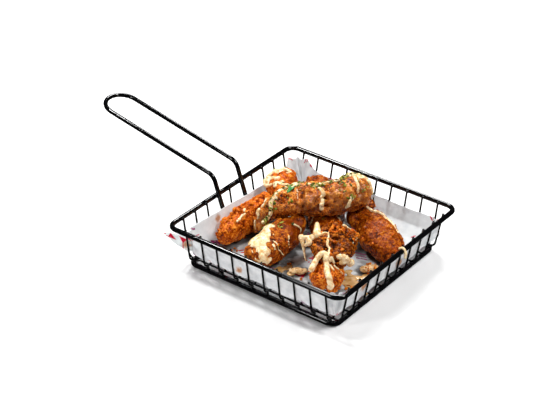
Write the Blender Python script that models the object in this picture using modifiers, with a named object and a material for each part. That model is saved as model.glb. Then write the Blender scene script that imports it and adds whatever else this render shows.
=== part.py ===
"""Basket of chicken tenders: a square coated-wire basket with one long loop handle, its paper
liner, and eight breaded tenders heaped in it with a few loose bits of crust.

Metres, +Z up. The origin lies under the middle of the whole object's box, on the surface that
the basket stands on. The handle points to -X. Lengths along the basket's own frame are counted
from the middle of its rim, which an empty carries to its place.
"""

import math

import bmesh
import bpy
from mathutils import Matrix, Quaternion, Vector, noise

MM = 0.001
GAP = 0.3 * MM

# Rim and foot ring: closed rounded squares, sizes to the middle of the wire.
RIM_SIDE = 200 * MM
RIM_WIRE = 5 * MM
RIM_CORNER = 10 * MM
RIM_HEIGHT = 45.2 * MM
RING_SIDE = 171 * MM
RING_WIRE = 5 * MM
RING_CORNER = 9 * MM
CORNER_STEPS = 5

# Hoops: thin U-shaped wires that make the floor grid and the bars of the walls.
HOOP_WIRE = 2 * MM
HOOPS_EACH_WAY = 10
HOOP_PITCH = 18 * MM
HOOP_BEND = 6 * MM
HOOP_TIP_ABOVE_RIM = 1.6 * MM
WALL_TAPER = 0.17
LOWER_LAYER = RING_WIRE + GAP + HOOP_WIRE / 2
UPPER_LAYER = LOWER_LAYER + HOOP_WIRE + GAP
LEG_TOP = RIM_SIDE / 2 - (RIM_WIRE + HOOP_WIRE) / 2 - GAP

# Handle: one wire bent into a long loop; its two legs go down inside the rim.
HANDLE_WIRE = 4.6 * MM
HANDLE_HOOPS = (3, 5)
HANDLE_REACH = 254 * MM
HANDLE_LEAN = 0.36
HANDLE_RISE = 0.205
HANDLE_ELBOW_ABOVE_RIM = 22 * MM
HANDLE_ELBOW = 12 * MM
HANDLE_FOOT_HEIGHT = 11.5 * MM
CUT_LEG_BELOW_RIM = 22 * MM
LOOP_STEPS = 10
HANDLE_AT_RIM = RIM_SIDE / 2 - (RIM_WIRE + HANDLE_WIRE) / 2 - 2 * GAP

# Liner: a sheet of paper pressed into the basket, heights counted from the ground.
LINER_THICKNESS = 0.6 * MM
LINER_FLOOR = UPPER_LAYER + HOOP_WIRE / 2 + GAP
LINER_FLOOR_HALF = 76 * MM
LINER_BEND_HEIGHT = 8 * MM
LINER_CORNER = 14 * MM
LINER_SIDE_STEPS = 8
LINER_RINGS = 4
NEAR_EDGE = 41 * MM
FRONT_CORNER_DROP = 5 * MM
BACK_EDGE = 30.5 * MM
LEFT_EDGE = 36 * MM
LEFT_EDGE_FALL = 3.5 * MM
BACK_CORNER_PEAK = 11 * MM
PEAK_SHARPNESS = 14
# Where its left corner sticks out: x, y, then the lower and the upper edge, in mm.
LINER_TIP = (
    (-76, -82, 18, 38),
    (-84, -91.5, 20, 38.5),
    (-91, -96.5, 26, 38.5),
    (-98, -99.5, 31.5, 38),
    (-104.5, -101.2, 36, 37.5),
)

BASKET_X = (HANDLE_REACH - (RIM_SIDE + RIM_WIRE) / 2) / 2

BLACK_COATING = ("coated_wire", (0.012, 0.012, 0.013), 0.28)
GREASEPROOF = ("greaseproof_paper", (0.80, 0.80, 0.81), 0.75)
CRUST = ("fried_crust", (0.46, 0.16, 0.035), 0.55)

# Each piece of food: its bent middle line in mm from the middle of the basket, then its half
# width and half thickness along it. One that lies on the paper sags down to it.
TENDERS = {
    "tender_1": {
        "line": ((-69, -56, 26), (-69, -32, 26), (-68, 0, 28), (-65, 24, 30)),
        "half_width": (11, 13, 14, 13),
        "half_thickness": (10, 12.5, 13, 14),
        "lies_on_paper": True,
        "grain": 1,
    },
    "tender_4": {
        "line": ((-52, 76, 28), (-18, 46, 28), (8, 10, 25)),
        "half_width": (15, 18, 19),
        "half_thickness": (15, 15, 14),
        "lies_on_paper": True,
        "grain": 4,
    },
    "tender_5": {
        "line": ((-21, -65, 25), (-20, -36, 26), (-21, -3, 28)),
        "half_width": (16, 17, 15),
        "half_thickness": (12, 14.5, 16),
        "lies_on_paper": True,
        "grain": 5,
    },
    "tender_7": {
        "line": ((83, 19, 26), (54, 35, 27), (24, 54, 28)),
        "half_width": (14, 20, 16),
        "half_thickness": (12, 15, 14),
        "lies_on_paper": True,
        "grain": 7,
    },
    "tender_8": {
        "line": ((57, -60, 25), (48, -44, 25), (42, -30, 24)),
        "half_width": (16, 16, 12),
        "half_thickness": (13, 13.5, 10),
        "lies_on_paper": True,
        "grain": 8,
    },
    "tender_2": {
        "line": ((-76, 58, 36), (-66, 38, 42), (-52, 18, 44)),
        "half_width": (13, 16, 13),
        "half_thickness": (11, 13, 11),
        "lies_on_paper": False,
        "grain": 2,
    },
    "tender_6": {
        "line": ((49, -40, 38), (40, -24, 40), (33, -7, 41)),
        "half_width": (18, 21, 20),
        "half_thickness": (11, 14, 12),
        "lies_on_paper": False,
        "grain": 6,
    },
    "tender_3": {
        "line": ((-52, -23, 20), (-47, -10, 40), (-24, 6, 53), (0, 28, 54.5), (18, 49, 57)),
        "half_width": (6, 12, 16, 18, 25),
        "half_thickness": (4, 11, 16, 18.5, 28),
        "lies_on_paper": False,
        "grain": 3,
    },
    "crust_knob": {
        "line": ((18, 68, 38), (22, 64, 38), (26, 60, 37)),
        "half_width": (5, 6, 5),
        "half_thickness": (4, 5, 4),
        "lies_on_paper": False,
        "grain": 9,
    },
    "crust_flake_1": {
        "line": ((72, 4, 15), (67, -2, 15), (62, -7, 14)),
        "half_width": (4, 5, 4),
        "half_thickness": (2.5, 3.2, 2.5),
        "lies_on_paper": True,
        "grain": 10,
    },
    "crust_flake_2": {
        "line": ((9, -49, 13), (15, -45, 13), (21, -41, 13)),
        "half_width": (4, 5, 4),
        "half_thickness": (1.6, 2, 1.6),
        "lies_on_paper": True,
        "grain": 11,
    },
}
TENDER_SIDES = 14
TENDER_RINGS = 16
SMALL_SIDES = 8
SMALL_RINGS = 8
END_BLUNTNESS = 2.5
END_CROWDING = 0.5
LUMP_SIZE = 14 * MM
LUMP_DEPTH = 0.2
LUMP_SHIFT = Vector((7.3, 1.9, 4.1))
PAPER_TOP = LINER_FLOOR + LINER_THICKNESS


def clear_scene():
    """Empties the file of the objects it starts with."""
    for obj in list(bpy.data.objects):
        bpy.data.objects.remove(obj)


def make_collection(name):
    collection = bpy.data.collections.new(name)
    bpy.context.scene.collection.children.link(collection)
    return collection


def make_material(name, colour, roughness):
    """A Principled material of one colour."""
    material = bpy.data.materials.new(name)
    material.use_nodes = True
    shader = material.node_tree.nodes["Principled BSDF"]
    shader.inputs["Base Color"].default_value = (*colour, 1.0)
    shader.inputs["Roughness"].default_value = roughness
    shader.inputs["Metallic"].default_value = 0.0
    return material


def place(obj, collection, material, basket):
    """Adds a piece to the collection, dresses it and hangs it on the basket's empty."""
    collection.objects.link(obj)
    obj.data.materials.append(material)
    obj.parent = basket
    return obj


def hide_as_cutter(obj, cutters, basket):
    """Keeps a shape that only cuts or joins others out of the model."""
    cutters.objects.link(obj)
    obj.parent = basket
    obj.hide_render = True
    obj.display_type = "WIRE"


def filleted(points, radius, steps, closed=False):
    """The points of a path whose corners are rounded to arcs of one radius."""
    points = [Vector(p) for p in points]
    count = len(points)
    path = []
    for i, corner in enumerate(points):
        if not closed and i in (0, count - 1):
            path.append(corner)
            continue
        back = (points[i - 1] - corner).normalized()
        ahead = (points[(i + 1) % count] - corner).normalized()
        half_angle = back.angle(ahead) / 2
        centre = corner + (back + ahead).normalized() * (radius / math.sin(half_angle))
        start = corner + back * (radius / math.tan(half_angle)) - centre
        axis = start.cross(ahead - back).normalized()
        turn = math.pi - 2 * half_angle
        for k in range(steps + 1):
            path.append(centre + Quaternion(axis, turn * k / steps) @ start)
    return path


def wire(name, points, diameter, closed=False):
    """A round wire that follows the points, with closed ends."""
    curve = bpy.data.curves.new(name, "CURVE")
    curve.dimensions = "3D"
    curve.bevel_depth = diameter / 2
    curve.bevel_resolution = 2
    curve.use_fill_caps = True
    spline = curve.splines.new("POLY")
    spline.points.add(len(points) - 1)
    for point, place_at in zip(spline.points, points):
        point.co = (*place_at, 1.0)
    spline.use_cyclic_u = closed
    spline.use_smooth = True
    return bpy.data.objects.new(name, curve)


def square_ring(name, side, corner, height, diameter):
    """A closed rounded square of wire lying level."""
    half = side / 2
    signs = ((1, -1), (1, 1), (-1, 1), (-1, -1))
    corners = [(half * x, half * y, height) for x, y in signs]
    return wire(name, filleted(corners, corner, CORNER_STEPS, closed=True), diameter, closed=True)


def leg_inset(height):
    """How far from the middle of the basket a wall bar stands at this height."""
    return LEG_TOP - WALL_TAPER * (RIM_HEIGHT - height)


def hoop_offset(index):
    """Where along a wall the bars of one hoop stand."""
    return (index - (HOOPS_EACH_WAY - 1) / 2) * HOOP_PITCH


def hoop(name, offset, layer, along_y, first_tip_drop=0.0):
    """One U-shaped wire: a bar up one wall, a run across the floor and a bar up the wall opposite."""
    tip = RIM_HEIGHT + HOOP_TIP_ABOVE_RIM
    low_tip = tip - first_tip_drop
    outline = [
        (-leg_inset(low_tip), low_tip),
        (-leg_inset(layer), layer),
        (leg_inset(layer), layer),
        (leg_inset(tip), tip),
    ]
    if along_y:
        corners = [(offset, across, height) for across, height in outline]
    else:
        corners = [(across, offset, height) for across, height in outline]
    return wire(name, filleted(corners, HOOP_BEND, 2), HOOP_WIRE)


def hoops():
    """Both layers of hoops. The lower layer's bars stand in the walls that face X."""
    made = []
    for i in range(HOOPS_EACH_WAY):
        drop = HOOP_TIP_ABOVE_RIM + CUT_LEG_BELOW_RIM if i in HANDLE_HOOPS else 0.0
        made.append(hoop(f"hoop_x_{i + 1:02d}", hoop_offset(i), LOWER_LAYER, False, drop))
        made.append(hoop(f"hoop_y_{i + 1:02d}", hoop_offset(i), UPPER_LAYER, True))
    return made


def handle():
    """The loop handle: up one leg, out along one side, round the end and back."""
    low_y, high_y = (hoop_offset(i) for i in HANDLE_HOOPS)
    middle_y = (low_y + high_y) / 2
    half_gap = (high_y - low_y) / 2
    elbow_z = RIM_HEIGHT + HANDLE_ELBOW_ABOVE_RIM
    elbow_x = -HANDLE_AT_RIM - HANDLE_LEAN * HANDLE_ELBOW_ABOVE_RIM
    foot_x = -HANDLE_AT_RIM + HANDLE_LEAN * (RIM_HEIGHT - HANDLE_FOOT_HEIGHT)
    slope = math.atan(HANDLE_RISE)
    loop_x = -HANDLE_REACH + HANDLE_WIRE / 2 + half_gap * math.cos(slope)

    def on_slope(x):
        return elbow_z + HANDLE_RISE * (elbow_x - x)

    side = [(foot_x, HANDLE_FOOT_HEIGHT), (elbow_x, elbow_z), (loop_x, on_slope(loop_x))]
    near = filleted([(x, low_y, z) for x, z in side], HANDLE_ELBOW, CORNER_STEPS)
    far = filleted([(x, high_y, z) for x, z in side], HANDLE_ELBOW, CORNER_STEPS)
    loop = []
    for k in range(1, LOOP_STEPS):
        angle = math.pi * k / LOOP_STEPS
        x = loop_x - half_gap * math.sin(angle) * math.cos(slope)
        loop.append(Vector((x, middle_y - half_gap * math.cos(angle), on_slope(x))))
    return wire("handle", near + loop + far[::-1], HANDLE_WIRE)


def liner_edge_height(x, y):
    """The height of the paper's edge: high at the near walls and the back corner, low between."""
    across = x / LINER_FLOOR_HALF
    along_wall = y / LINER_FLOOR_HALF
    if across > 0 and across >= abs(along_wall):
        return NEAR_EDGE - FRONT_CORNER_DROP * max(0.0, along_wall) ** 2
    if along_wall < 0 and -along_wall > abs(across):
        return NEAR_EDGE
    if along_wall >= abs(across):
        return BACK_EDGE + BACK_CORNER_PEAK * max(0.0, -across) ** PEAK_SHARPNESS
    peak = BACK_CORNER_PEAK * max(0.0, along_wall) ** PEAK_SHARPNESS
    return LEFT_EDGE - LEFT_EDGE_FALL * along_wall + peak


def liner_ring(half, left_half, corner, height):
    """One level outline of the tray: a rounded square, narrower on the side of the handle's legs."""
    points = []
    for quarter in range(4):
        turn = Matrix.Rotation(quarter * math.pi / 2, 3, "Z")
        for k in range(LINER_SIDE_STEPS):
            y = (half - corner) * (2 * k / (LINER_SIDE_STEPS - 1) - 1)
            points.append(turn @ Vector((half, y, height)))
        for k in (1, 2):
            angle = math.pi / 2 * k / 3
            x = half - corner + corner * math.cos(angle)
            y = half - corner + corner * math.sin(angle)
            points.append(turn @ Vector((x, y, height)))
    for point in points:
        if point.x < 0:
            point.x *= left_half / half
    return points


def liner_half(height):
    """Half the tray's size at a height, inside the bars of the wall."""
    return leg_inset(height) - HOOP_WIRE / 2 - GAP - LINER_THICKNESS


def liner_left_half(height):
    """The same on the left, where the handle's legs stand between the bars and the paper."""
    leg_middle = HANDLE_AT_RIM - HANDLE_LEAN * (RIM_HEIGHT - height)
    leg_half_depth = HANDLE_WIRE / 2 * math.hypot(1, HANDLE_LEAN)
    return leg_middle - leg_half_depth - 2 * GAP - LINER_THICKNESS


def liner_outline(level):
    """The tray's inner line: the floor's edge, then the wall from its bend up to the paper's edge."""
    if level == 0:
        return liner_ring(LINER_FLOOR_HALF, LINER_FLOOR_HALF, LINER_CORNER, LINER_FLOOR + LINER_THICKNESS)
    bend = LINER_FLOOR + LINER_BEND_HEIGHT
    ring = liner_ring(liner_half(bend), liner_left_half(bend), LINER_CORNER, bend)
    share = (level - 1) / (LINER_RINGS - 1)
    for point in ring:
        height = bend + (liner_edge_height(point.x, point.y) - bend) * share
        wider = liner_half(height) / liner_half(bend)
        left_wider = liner_left_half(height) / liner_left_half(bend)
        point.x *= left_wider if point.x < 0 else wider
        point.y *= wider
        point.z = height
    return ring


def surface(name, rows, closed_rows=False):
    """An open sheet of faces between rows of points; closed rows run all round and get a floor."""
    bm = bmesh.new()
    grid = [[bm.verts.new(p) for p in row] for row in rows]
    count = len(grid[0])
    if closed_rows:
        bm.faces.new(grid[0][::-1])
    for low, high in zip(grid, grid[1:]):
        for i in range(count if closed_rows else count - 1):
            j = (i + 1) % count
            bm.faces.new((low[i], low[j], high[j], high[i]))
    mesh = bpy.data.meshes.new(name)
    bm.to_mesh(mesh)
    bm.free()
    return bpy.data.objects.new(name, mesh)


def thicken(obj):
    """Gives a sheet of paper its thickness, on the side that its faces look to."""
    wall = obj.modifiers.new("paper", "SOLIDIFY")
    wall.thickness = LINER_THICKNESS
    wall.offset = 1
    wall.use_even_offset = True


def liner_tip():
    """The paper's left corner, which sticks out between the bars under the rim."""
    low = [Vector((x, y, z)) * MM for x, y, z, _ in LINER_TIP]
    high = [Vector((x, y, z)) * MM for x, y, _, z in LINER_TIP]
    tip = surface("liner_tip", [low, high])
    thicken(tip)
    return tip


def liner(tip):
    """The paper as a thin closed tray, with its corner that sticks out joined on."""
    tray = surface("liner", [liner_outline(level) for level in range(LINER_RINGS + 1)], closed_rows=True)
    thicken(tray)
    join = tray.modifiers.new("tip", "BOOLEAN")
    join.operation = "UNION"
    join.solver = "EXACT"
    join.object = tip
    return tray


def along(values, t):
    """A smooth reading of a list of numbers or points, t from 0 at the first to 1 at the last."""
    last = len(values) - 1
    place_at = min(max(t, 0.0), 1.0) * last
    i = min(int(place_at), last - 1)
    u = place_at - i
    before, start, end, after = (values[min(max(i + k, 0), last)] for k in (-1, 0, 1, 2))
    bend = (end - before) * u * (1 - u) ** 2 / 2 - (after - start) * u * u * (1 - u) / 2
    return start + (end - start) * u * u * (3 - 2 * u) + bend


def reach_past_end(end, inner, half_width):
    """The tip of a piece's middle line, half its width past the point given for that end."""
    return end + (end - inner).normalized() * half_width * MM / 2


def tender_mesh(name, shape, extra, sides, rings):
    """A tender as a sphere drawn out along its bent middle line; extra grows it all round."""
    widths = shape["half_width"]
    line = [Vector(p) * MM for p in shape["line"]]
    first = reach_past_end(line[0], line[1], widths[0])
    last = reach_past_end(line[-1], line[-2], widths[-1])
    line = [first, *line[1:-1], last]
    lowest = PAPER_TOP + GAP - extra
    bm = bmesh.new()
    bmesh.ops.create_uvsphere(bm, u_segments=sides, v_segments=rings, radius=1.0)
    for vert in bm.verts:
        t = (1 - vert.co.z) / 2
        t += (0.5 - abs(t - 0.5)) * (t - 0.5) * END_CROWDING
        middle = along(line, t)
        ahead = (along(line, t + 0.02) - along(line, t - 0.02)).normalized()
        side = ahead.cross(Vector((0, 0, 1))).normalized()
        up = side.cross(ahead)
        from_middle = 2 * t - 1
        round_off = (1 - abs(from_middle) ** END_BLUNTNESS) ** (1 / END_BLUNTNESS)
        angle = math.atan2(vert.co.y, vert.co.x)
        width = along(widths, t) * MM
        height = along(shape["half_thickness"], t) * MM
        if shape["lies_on_paper"] and angle < 0:
            height = max(height, middle.z - PAPER_TOP)
        out = (side * (math.cos(angle) * width) + up * (math.sin(angle) * height)) * round_off
        lump = noise.noise((middle + out) / LUMP_SIZE + LUMP_SHIFT * shape["grain"])
        swell = out.length * LUMP_DEPTH * lump + extra
        vert.co = middle + out + out.normalized() * swell + ahead * (extra * from_middle ** 7)
        vert.co.z = max(vert.co.z, lowest)
    mesh = bpy.data.meshes.new(name)
    bm.to_mesh(mesh)
    bm.free()
    mesh.shade_smooth()
    return mesh


def contents(collection, cutters, material, basket):
    """The tenders and bits of crust, in the order they were laid; each one rests in those below it."""
    laid = []
    for name, shape in TENDERS.items():
        small = name.startswith("crust")
        sides, rings = (SMALL_SIDES, SMALL_RINGS) if small else (TENDER_SIDES, TENDER_RINGS)
        obj = bpy.data.objects.new(name, tender_mesh(name, shape, 0.0, sides, rings))
        place(obj, collection, material, basket)
        for below in laid:
            cut = obj.modifiers.new("rests_on_" + below.name, "BOOLEAN")
            cut.operation = "DIFFERENCE"
            cut.solver = "EXACT"
            cut.object = below
        cutter = bpy.data.objects.new(name + "_clearance", tender_mesh(name, shape, GAP, sides, rings))
        hide_as_cutter(cutter, cutters, basket)
        laid.append(cutter)


def build():
    clear_scene()
    parts = make_collection("basket_of_tenders")
    cutters = make_collection("cutters")
    basket = bpy.data.objects.new("basket_middle", None)
    basket.location = (BASKET_X, 0, 0)
    parts.objects.link(basket)
    coating = make_material(*BLACK_COATING)
    paper = make_material(*GREASEPROOF)
    crust = make_material(*CRUST)
    place(square_ring("rim", RIM_SIDE, RIM_CORNER, RIM_HEIGHT, RIM_WIRE), parts, coating, basket)
    ring = square_ring("foot_ring", RING_SIDE, RING_CORNER, RING_WIRE / 2, RING_WIRE)
    place(ring, parts, coating, basket)
    for bar in hoops():
        place(bar, parts, coating, basket)
    place(handle(), parts, coating, basket)
    tip = liner_tip()
    place(liner(tip), parts, paper, basket)
    hide_as_cutter(tip, cutters, basket)
    contents(parts, cutters, crust, basket)


build()
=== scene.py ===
"""A square wire serving basket heaped with breaded chicken tenders on printed paper.

Lengths are in metres unless a name or a comment says millimetres. +Z is up and the handle points to
-X. Places in the basket are counted in millimetres from the middle of its rim.
"""

import logging
import math
from dataclasses import dataclass, field
from enum import Enum
from typing import Iterable, Sequence

import bpy
import numpy as np
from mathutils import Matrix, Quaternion, Vector, noise
from mathutils.bvhtree import BVHTree


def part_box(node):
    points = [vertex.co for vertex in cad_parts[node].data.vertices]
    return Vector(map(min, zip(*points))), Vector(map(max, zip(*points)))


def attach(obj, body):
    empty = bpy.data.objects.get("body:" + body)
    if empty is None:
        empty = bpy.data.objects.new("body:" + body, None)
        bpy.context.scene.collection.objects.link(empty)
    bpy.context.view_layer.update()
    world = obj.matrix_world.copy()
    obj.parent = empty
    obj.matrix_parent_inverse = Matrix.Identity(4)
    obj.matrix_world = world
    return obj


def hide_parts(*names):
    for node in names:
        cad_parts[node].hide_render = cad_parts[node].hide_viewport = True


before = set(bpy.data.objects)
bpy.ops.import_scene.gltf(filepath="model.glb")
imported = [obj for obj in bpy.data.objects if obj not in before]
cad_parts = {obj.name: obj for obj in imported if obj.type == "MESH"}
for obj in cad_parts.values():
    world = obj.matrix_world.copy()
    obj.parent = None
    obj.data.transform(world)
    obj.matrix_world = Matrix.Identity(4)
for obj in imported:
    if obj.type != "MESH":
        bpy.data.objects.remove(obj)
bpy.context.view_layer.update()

MM = 0.001
BODY = "root"

log = logging.getLogger("tender_basket")

RIM_LOW, RIM_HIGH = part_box("rim")
BASKET_X = (RIM_LOW.x + RIM_HIGH.x) / 2

# Blender's names for the nodes that are used most.
MATH = "ShaderNodeMath"
VECTOR = "ShaderNodeVectorMath"
NOISE = "ShaderNodeTexNoise"
CELLS = "ShaderNodeTexVoronoi"
MIX = "ShaderNodeMix"
RANGE = "ShaderNodeMapRange"
AXES = "ShaderNodeSeparateXYZ"
STORED = "ShaderNodeAttribute"
NAMED = "GeometryNodeInputNamedAttribute"

Socket = bpy.types.NodeSocket
Colour = tuple[float, float, float, float]
Spot = tuple[float, float, float]
Span = tuple[float, float]


class Slot(Enum):
    """The record's material slots."""

    WIRE = "coated_wire"
    PAPER = "greaseproof_paper"
    CRUST = "fried_crust"


def place(x: float, y: float, z: float) -> Vector:
    """Turns a place in the basket, in millimetres, to a point of the frame."""
    return Vector((BASKET_X + x * MM, y * MM, z * MM))


def linear(hex_colour: str) -> Colour:
    """Turns an sRGB hex colour to the linear colour that a shader takes."""
    channels = [int(hex_colour[i:i + 2], 16) / 255 for i in (0, 2, 4)]
    return (*[c / 12.92 if c <= 0.04045 else ((c + 0.055) / 1.055) ** 2.4 for c in channels], 1.0)


def link(name: str, data: bpy.types.ID | None) -> bpy.types.Object:
    """Makes an object and links it to the scene.

    Args:
        name: the object's name.
        data: its mesh, curve, light or camera.

    Returns:
        The object.
    """
    obj = bpy.data.objects.new(name, data)
    bpy.context.scene.collection.objects.link(obj)
    return obj


def mesh_object(
    name: str, points: Iterable[Sequence[float]], faces: Iterable[Sequence[int]] = (),
) -> bpy.types.Object:
    """Makes a mesh object.

    Args:
        name: the object's name.
        points: the mesh's points.
        faces: for each face, the numbers of its points.

    Returns:
        The object.
    """
    mesh = bpy.data.meshes.new(name)
    mesh.from_pydata([tuple(p) for p in points], [], [tuple(f) for f in faces])
    return link(name, mesh)


def store(obj: bpy.types.Object, name: str, kind: str, values: np.ndarray) -> None:
    """Stores one FLOAT or FLOAT_VECTOR for each point of a mesh."""
    attribute = obj.data.attributes.new(name, kind, "POINT")
    attribute.data.foreach_set("value" if kind == "FLOAT" else "vector", values.astype(np.float32).ravel())


def rows_of(items: bpy.types.bpy_prop_collection, key: str) -> np.ndarray:
    """Reads a vector from each item of a collection.

    Args:
        items: a mesh's points or normals.
        key: the name of the vector in each.

    Returns:
        Rows of three numbers.
    """
    flat = np.zeros(len(items) * 3, np.float32)
    items.foreach_get(key, flat)
    return flat.reshape(-1, 3).astype(float)


def distances(points: np.ndarray, x: float, y: float, z: float, reach: float) -> np.ndarray:
    """How far points of the frame are from a place in the basket, where 1 is the reach in millimetres."""
    return np.linalg.norm(points - np.array(place(x, y, z)), axis=1) / (reach * MM)


def nearness(points: np.ndarray, marks: Iterable[tuple[float, float, float, float]]) -> np.ndarray:
    """How far inside round marks, each a place and a reach, points are: 0 outside and 1 in the middle."""
    inside = [np.zeros(len(points))] + [1 - distances(points, *mark) for mark in marks]
    return np.max(inside, axis=0)


def baked(source: bpy.types.Object, name: str) -> bpy.types.Object:
    """Turns an object and its modifiers to a plain mesh object, and removes the source.

    Args:
        source: the object with its modifiers.
        name: the plain object's name.

    Returns:
        The plain object.
    """
    depsgraph = bpy.context.evaluated_depsgraph_get()
    mesh = bpy.data.meshes.new_from_object(
        source.evaluated_get(depsgraph), preserve_all_data_layers=True, depsgraph=depsgraph
    )
    bpy.data.objects.remove(source)
    mesh.name = name
    return link(name, mesh)


def dress(obj: bpy.types.Object, replaced: Iterable[str] = ()) -> bpy.types.Object:
    """Gives a finished piece its body and the nodes it stands for, and logs it.

    Args:
        obj: the piece.
        replaced: the nodes.

    Returns:
        The piece.
    """
    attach(obj, BODY)
    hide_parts(*replaced)
    obj.data.calc_loop_triangles()
    log.info("%s: %d triangles", obj.name, len(obj.data.loop_triangles))
    return obj


class Wiring:
    """A node tree that nodes are added to."""

    def __init__(self, tree: bpy.types.NodeTree) -> None:
        """Keeps the tree."""
        self.tree = tree

    def add(
        self, kind: str, inputs: Sequence | dict = (), wanted: str | None = None,
        stops: Sequence[tuple[float, str]] = (), **settings: object,
    ) -> Socket | None:
        """Adds a node with its settings and links.

        Args:
            kind: Blender's name for the type of node.
            inputs: the value or output that each input takes, by name or in the order of those in use.
            wanted: the name of the output to return, if it isn't the first in use.
            stops: a colour ramp's positions and hex colours, in rising order.
            settings: the node's own settings.

        Returns:
            The output, through which its node can be reached too.
        """
        node = self.tree.nodes.new(kind)
        for name, value in settings.items():
            setattr(node, name, value)
        sockets = [socket for socket in node.inputs if socket.enabled]
        if isinstance(inputs, dict):
            sockets = [next(socket for socket in sockets if socket.name == name) for name in inputs]
            inputs = list(inputs.values())
        for socket, value in zip(sockets, inputs):
            if isinstance(value, Socket):
                self.tree.links.new(value, socket)
            else:
                socket.default_value = value
        for i, (position, colour) in enumerate(stops):
            band = node.color_ramp.elements
            stop = band[i] if i < len(band) else band.new(position)
            stop.position = position
            stop.color = linear(colour)
        return next((s for s in node.outputs if s.enabled and wanted in (None, s.name)), None)

    def work_out(self, known: dict[str, Socket], steps: Sequence[tuple]) -> None:
        """Adds the nodes of a sum that is written as rows.

        Args:
            known: outputs by name, to which each row's result is added.
            steps: for each node the name of its result, its kind, its operation and its inputs, where a
                name stands for what is known by then.
        """
        for name, kind, operation, *inputs in steps:
            found = [known[value] if isinstance(value, str) else value for value in inputs]
            known[name] = self.add(kind, found, operation=operation)


class Recipe(Wiring):
    """A Geometry Nodes tree with named inputs, which is run once on an object."""

    def __init__(self, name: str, inputs: dict[str, tuple[str, object]]) -> None:
        """Starts the tree.

        Args:
            name: the tree's name.
            inputs: for each named input, its kind of socket without the prefix, and its usual value.
        """
        super().__init__(bpy.data.node_groups.new(name, "GeometryNodeTree"))
        face = self.tree.interface
        face.new_socket("Geometry", in_out="INPUT", socket_type="NodeSocketGeometry")
        for label, (kind, value) in inputs.items():
            socket = face.new_socket(label, in_out="INPUT", socket_type="NodeSocket" + kind)
            if value is not None:
                socket.default_value = value
        face.new_socket("Geometry", in_out="OUTPUT", socket_type="NodeSocketGeometry")
        self.given = self.add("NodeGroupInput").node.outputs

    def shift_along_normal(self, geometry: Socket, distance: Socket) -> Socket:
        """Moves the points of a surface along their normals."""
        offset = self.add(VECTOR, (self.add("GeometryNodeInputNormal"), distance), operation="SCALE")
        return self.add("GeometryNodeSetPosition", {"Geometry": geometry, "Offset": offset})

    def close(self, geometry: Socket) -> None:
        """Ends the tree with real geometry, smooth shading and the finish.

        Args:
            geometry: what the tree has made.
        """
        real = self.add("GeometryNodeRealizeInstances", (geometry,))
        smooth = self.add("GeometryNodeSetShadeSmooth", (real,))
        finished = {"Geometry": smooth, "Material": self.given["Finish"]}
        self.add("NodeGroupOutput", (self.add("GeometryNodeSetMaterial", finished),))

    def run(self, source: bpy.types.Object, name: str, **values: object) -> bpy.types.Object:
        """Runs the recipe on an object, which it uses up.

        Args:
            source: the object that the tree starts from.
            name: the name of the piece it makes.
            values: the named inputs, with underscores for spaces.

        Returns:
            The piece as a plain mesh object.
        """
        modifier = source.modifiers.new(self.tree.name, "NODES")
        modifier.node_group = self.tree
        for socket in self.tree.interface.items_tree:
            key = socket.name.lower().replace(" ", "_")
            if socket.in_out == "INPUT" and key in values:
                modifier[socket.identifier] = values[key]
        return baked(source, name)


@dataclass
class Surface:
    """The outside of some pieces, for what lies on them or near them."""

    pieces: Sequence[bpy.types.Object]
    points: np.ndarray = field(init=False)
    normals: np.ndarray = field(init=False)
    tree: BVHTree = field(init=False)

    def __post_init__(self) -> None:
        """Gathers the pieces' points and faces."""
        points, normals, faces, start = [], [], [], 0
        for piece in self.pieces:
            mesh = piece.data
            mesh.calc_loop_triangles()
            corners = np.zeros(len(mesh.loop_triangles) * 3, np.int32)
            mesh.loop_triangles.foreach_get("vertices", corners)
            points.append(rows_of(mesh.vertices, "co"))
            normals.append(rows_of(mesh.vertex_normals, "vector"))
            faces.append(corners.reshape(-1, 3) + start)
            start += len(mesh.vertices)
        self.points = np.vstack(points)
        self.normals = np.vstack(normals)
        self.tree = BVHTree.FromPolygons(self.points.tolist(), np.vstack(faces).tolist())

    def nearest(self, point: Vector) -> tuple[Vector, Vector]:
        """The nearest spot of the surface, and which way it faces."""
        spot, facing, _, _ = self.tree.find_nearest(point)
        return spot, facing


# ---------------------------------------------------------------------------------------------
# Finishes
# ---------------------------------------------------------------------------------------------


class Finish(Wiring):
    """A material being made, with its shader and the coordinates of its object."""

    def __init__(self, name: str, **shader: object) -> None:
        """Starts the material.

        Args:
            name: the material's name.
            shader: values for the shader's inputs, with underscores for spaces.
        """
        self.material = bpy.data.materials.new(name)
        self.material.use_nodes = True
        super().__init__(self.material.node_tree)
        self.shader = self.tree.nodes["Principled BSDF"]
        for key, value in shader.items():
            self.shader.inputs[key.replace("_", " ")].default_value = value
        self.coordinates = self.add("ShaderNodeTexCoord").node.outputs

    def uneven(self, size_mm: float, detail: float, within: Span, to: Span = (0.0, 1.0)) -> Socket:
        """A value that drifts over the surface in patches.

        Args:
            size_mm: about how large a patch is.
            detail: how ragged the patches are.
            within: the part of the noise that counts, between 0 and 1.
            to: the values at its two ends.

        Returns:
            The value.
        """
        grain = self.add(NOISE, (self.coordinates["Object"], 1 / (size_mm * MM), detail))
        return self.add(RANGE, (grain, *within, *to))

    def relief(self, size_mm: float, detail: float, depth_mm: float) -> None:
        """Gives the shading fine relief.

        Args:
            size_mm: about how large a bump is.
            detail: how ragged the bumps are.
            depth_mm: how deep they are.
        """
        grain = self.add(NOISE, (self.coordinates["Object"], 1 / (size_mm * MM), detail))
        raised = {"Height": grain, "Distance": depth_mm * MM, "Strength": 1.0}
        self.feed("Normal", self.add("ShaderNodeBump", raised))

    def feed(self, name: str, value: Socket) -> None:
        """Links a value to an input of the shader."""
        self.tree.links.new(value, self.shader.inputs[name])


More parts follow.
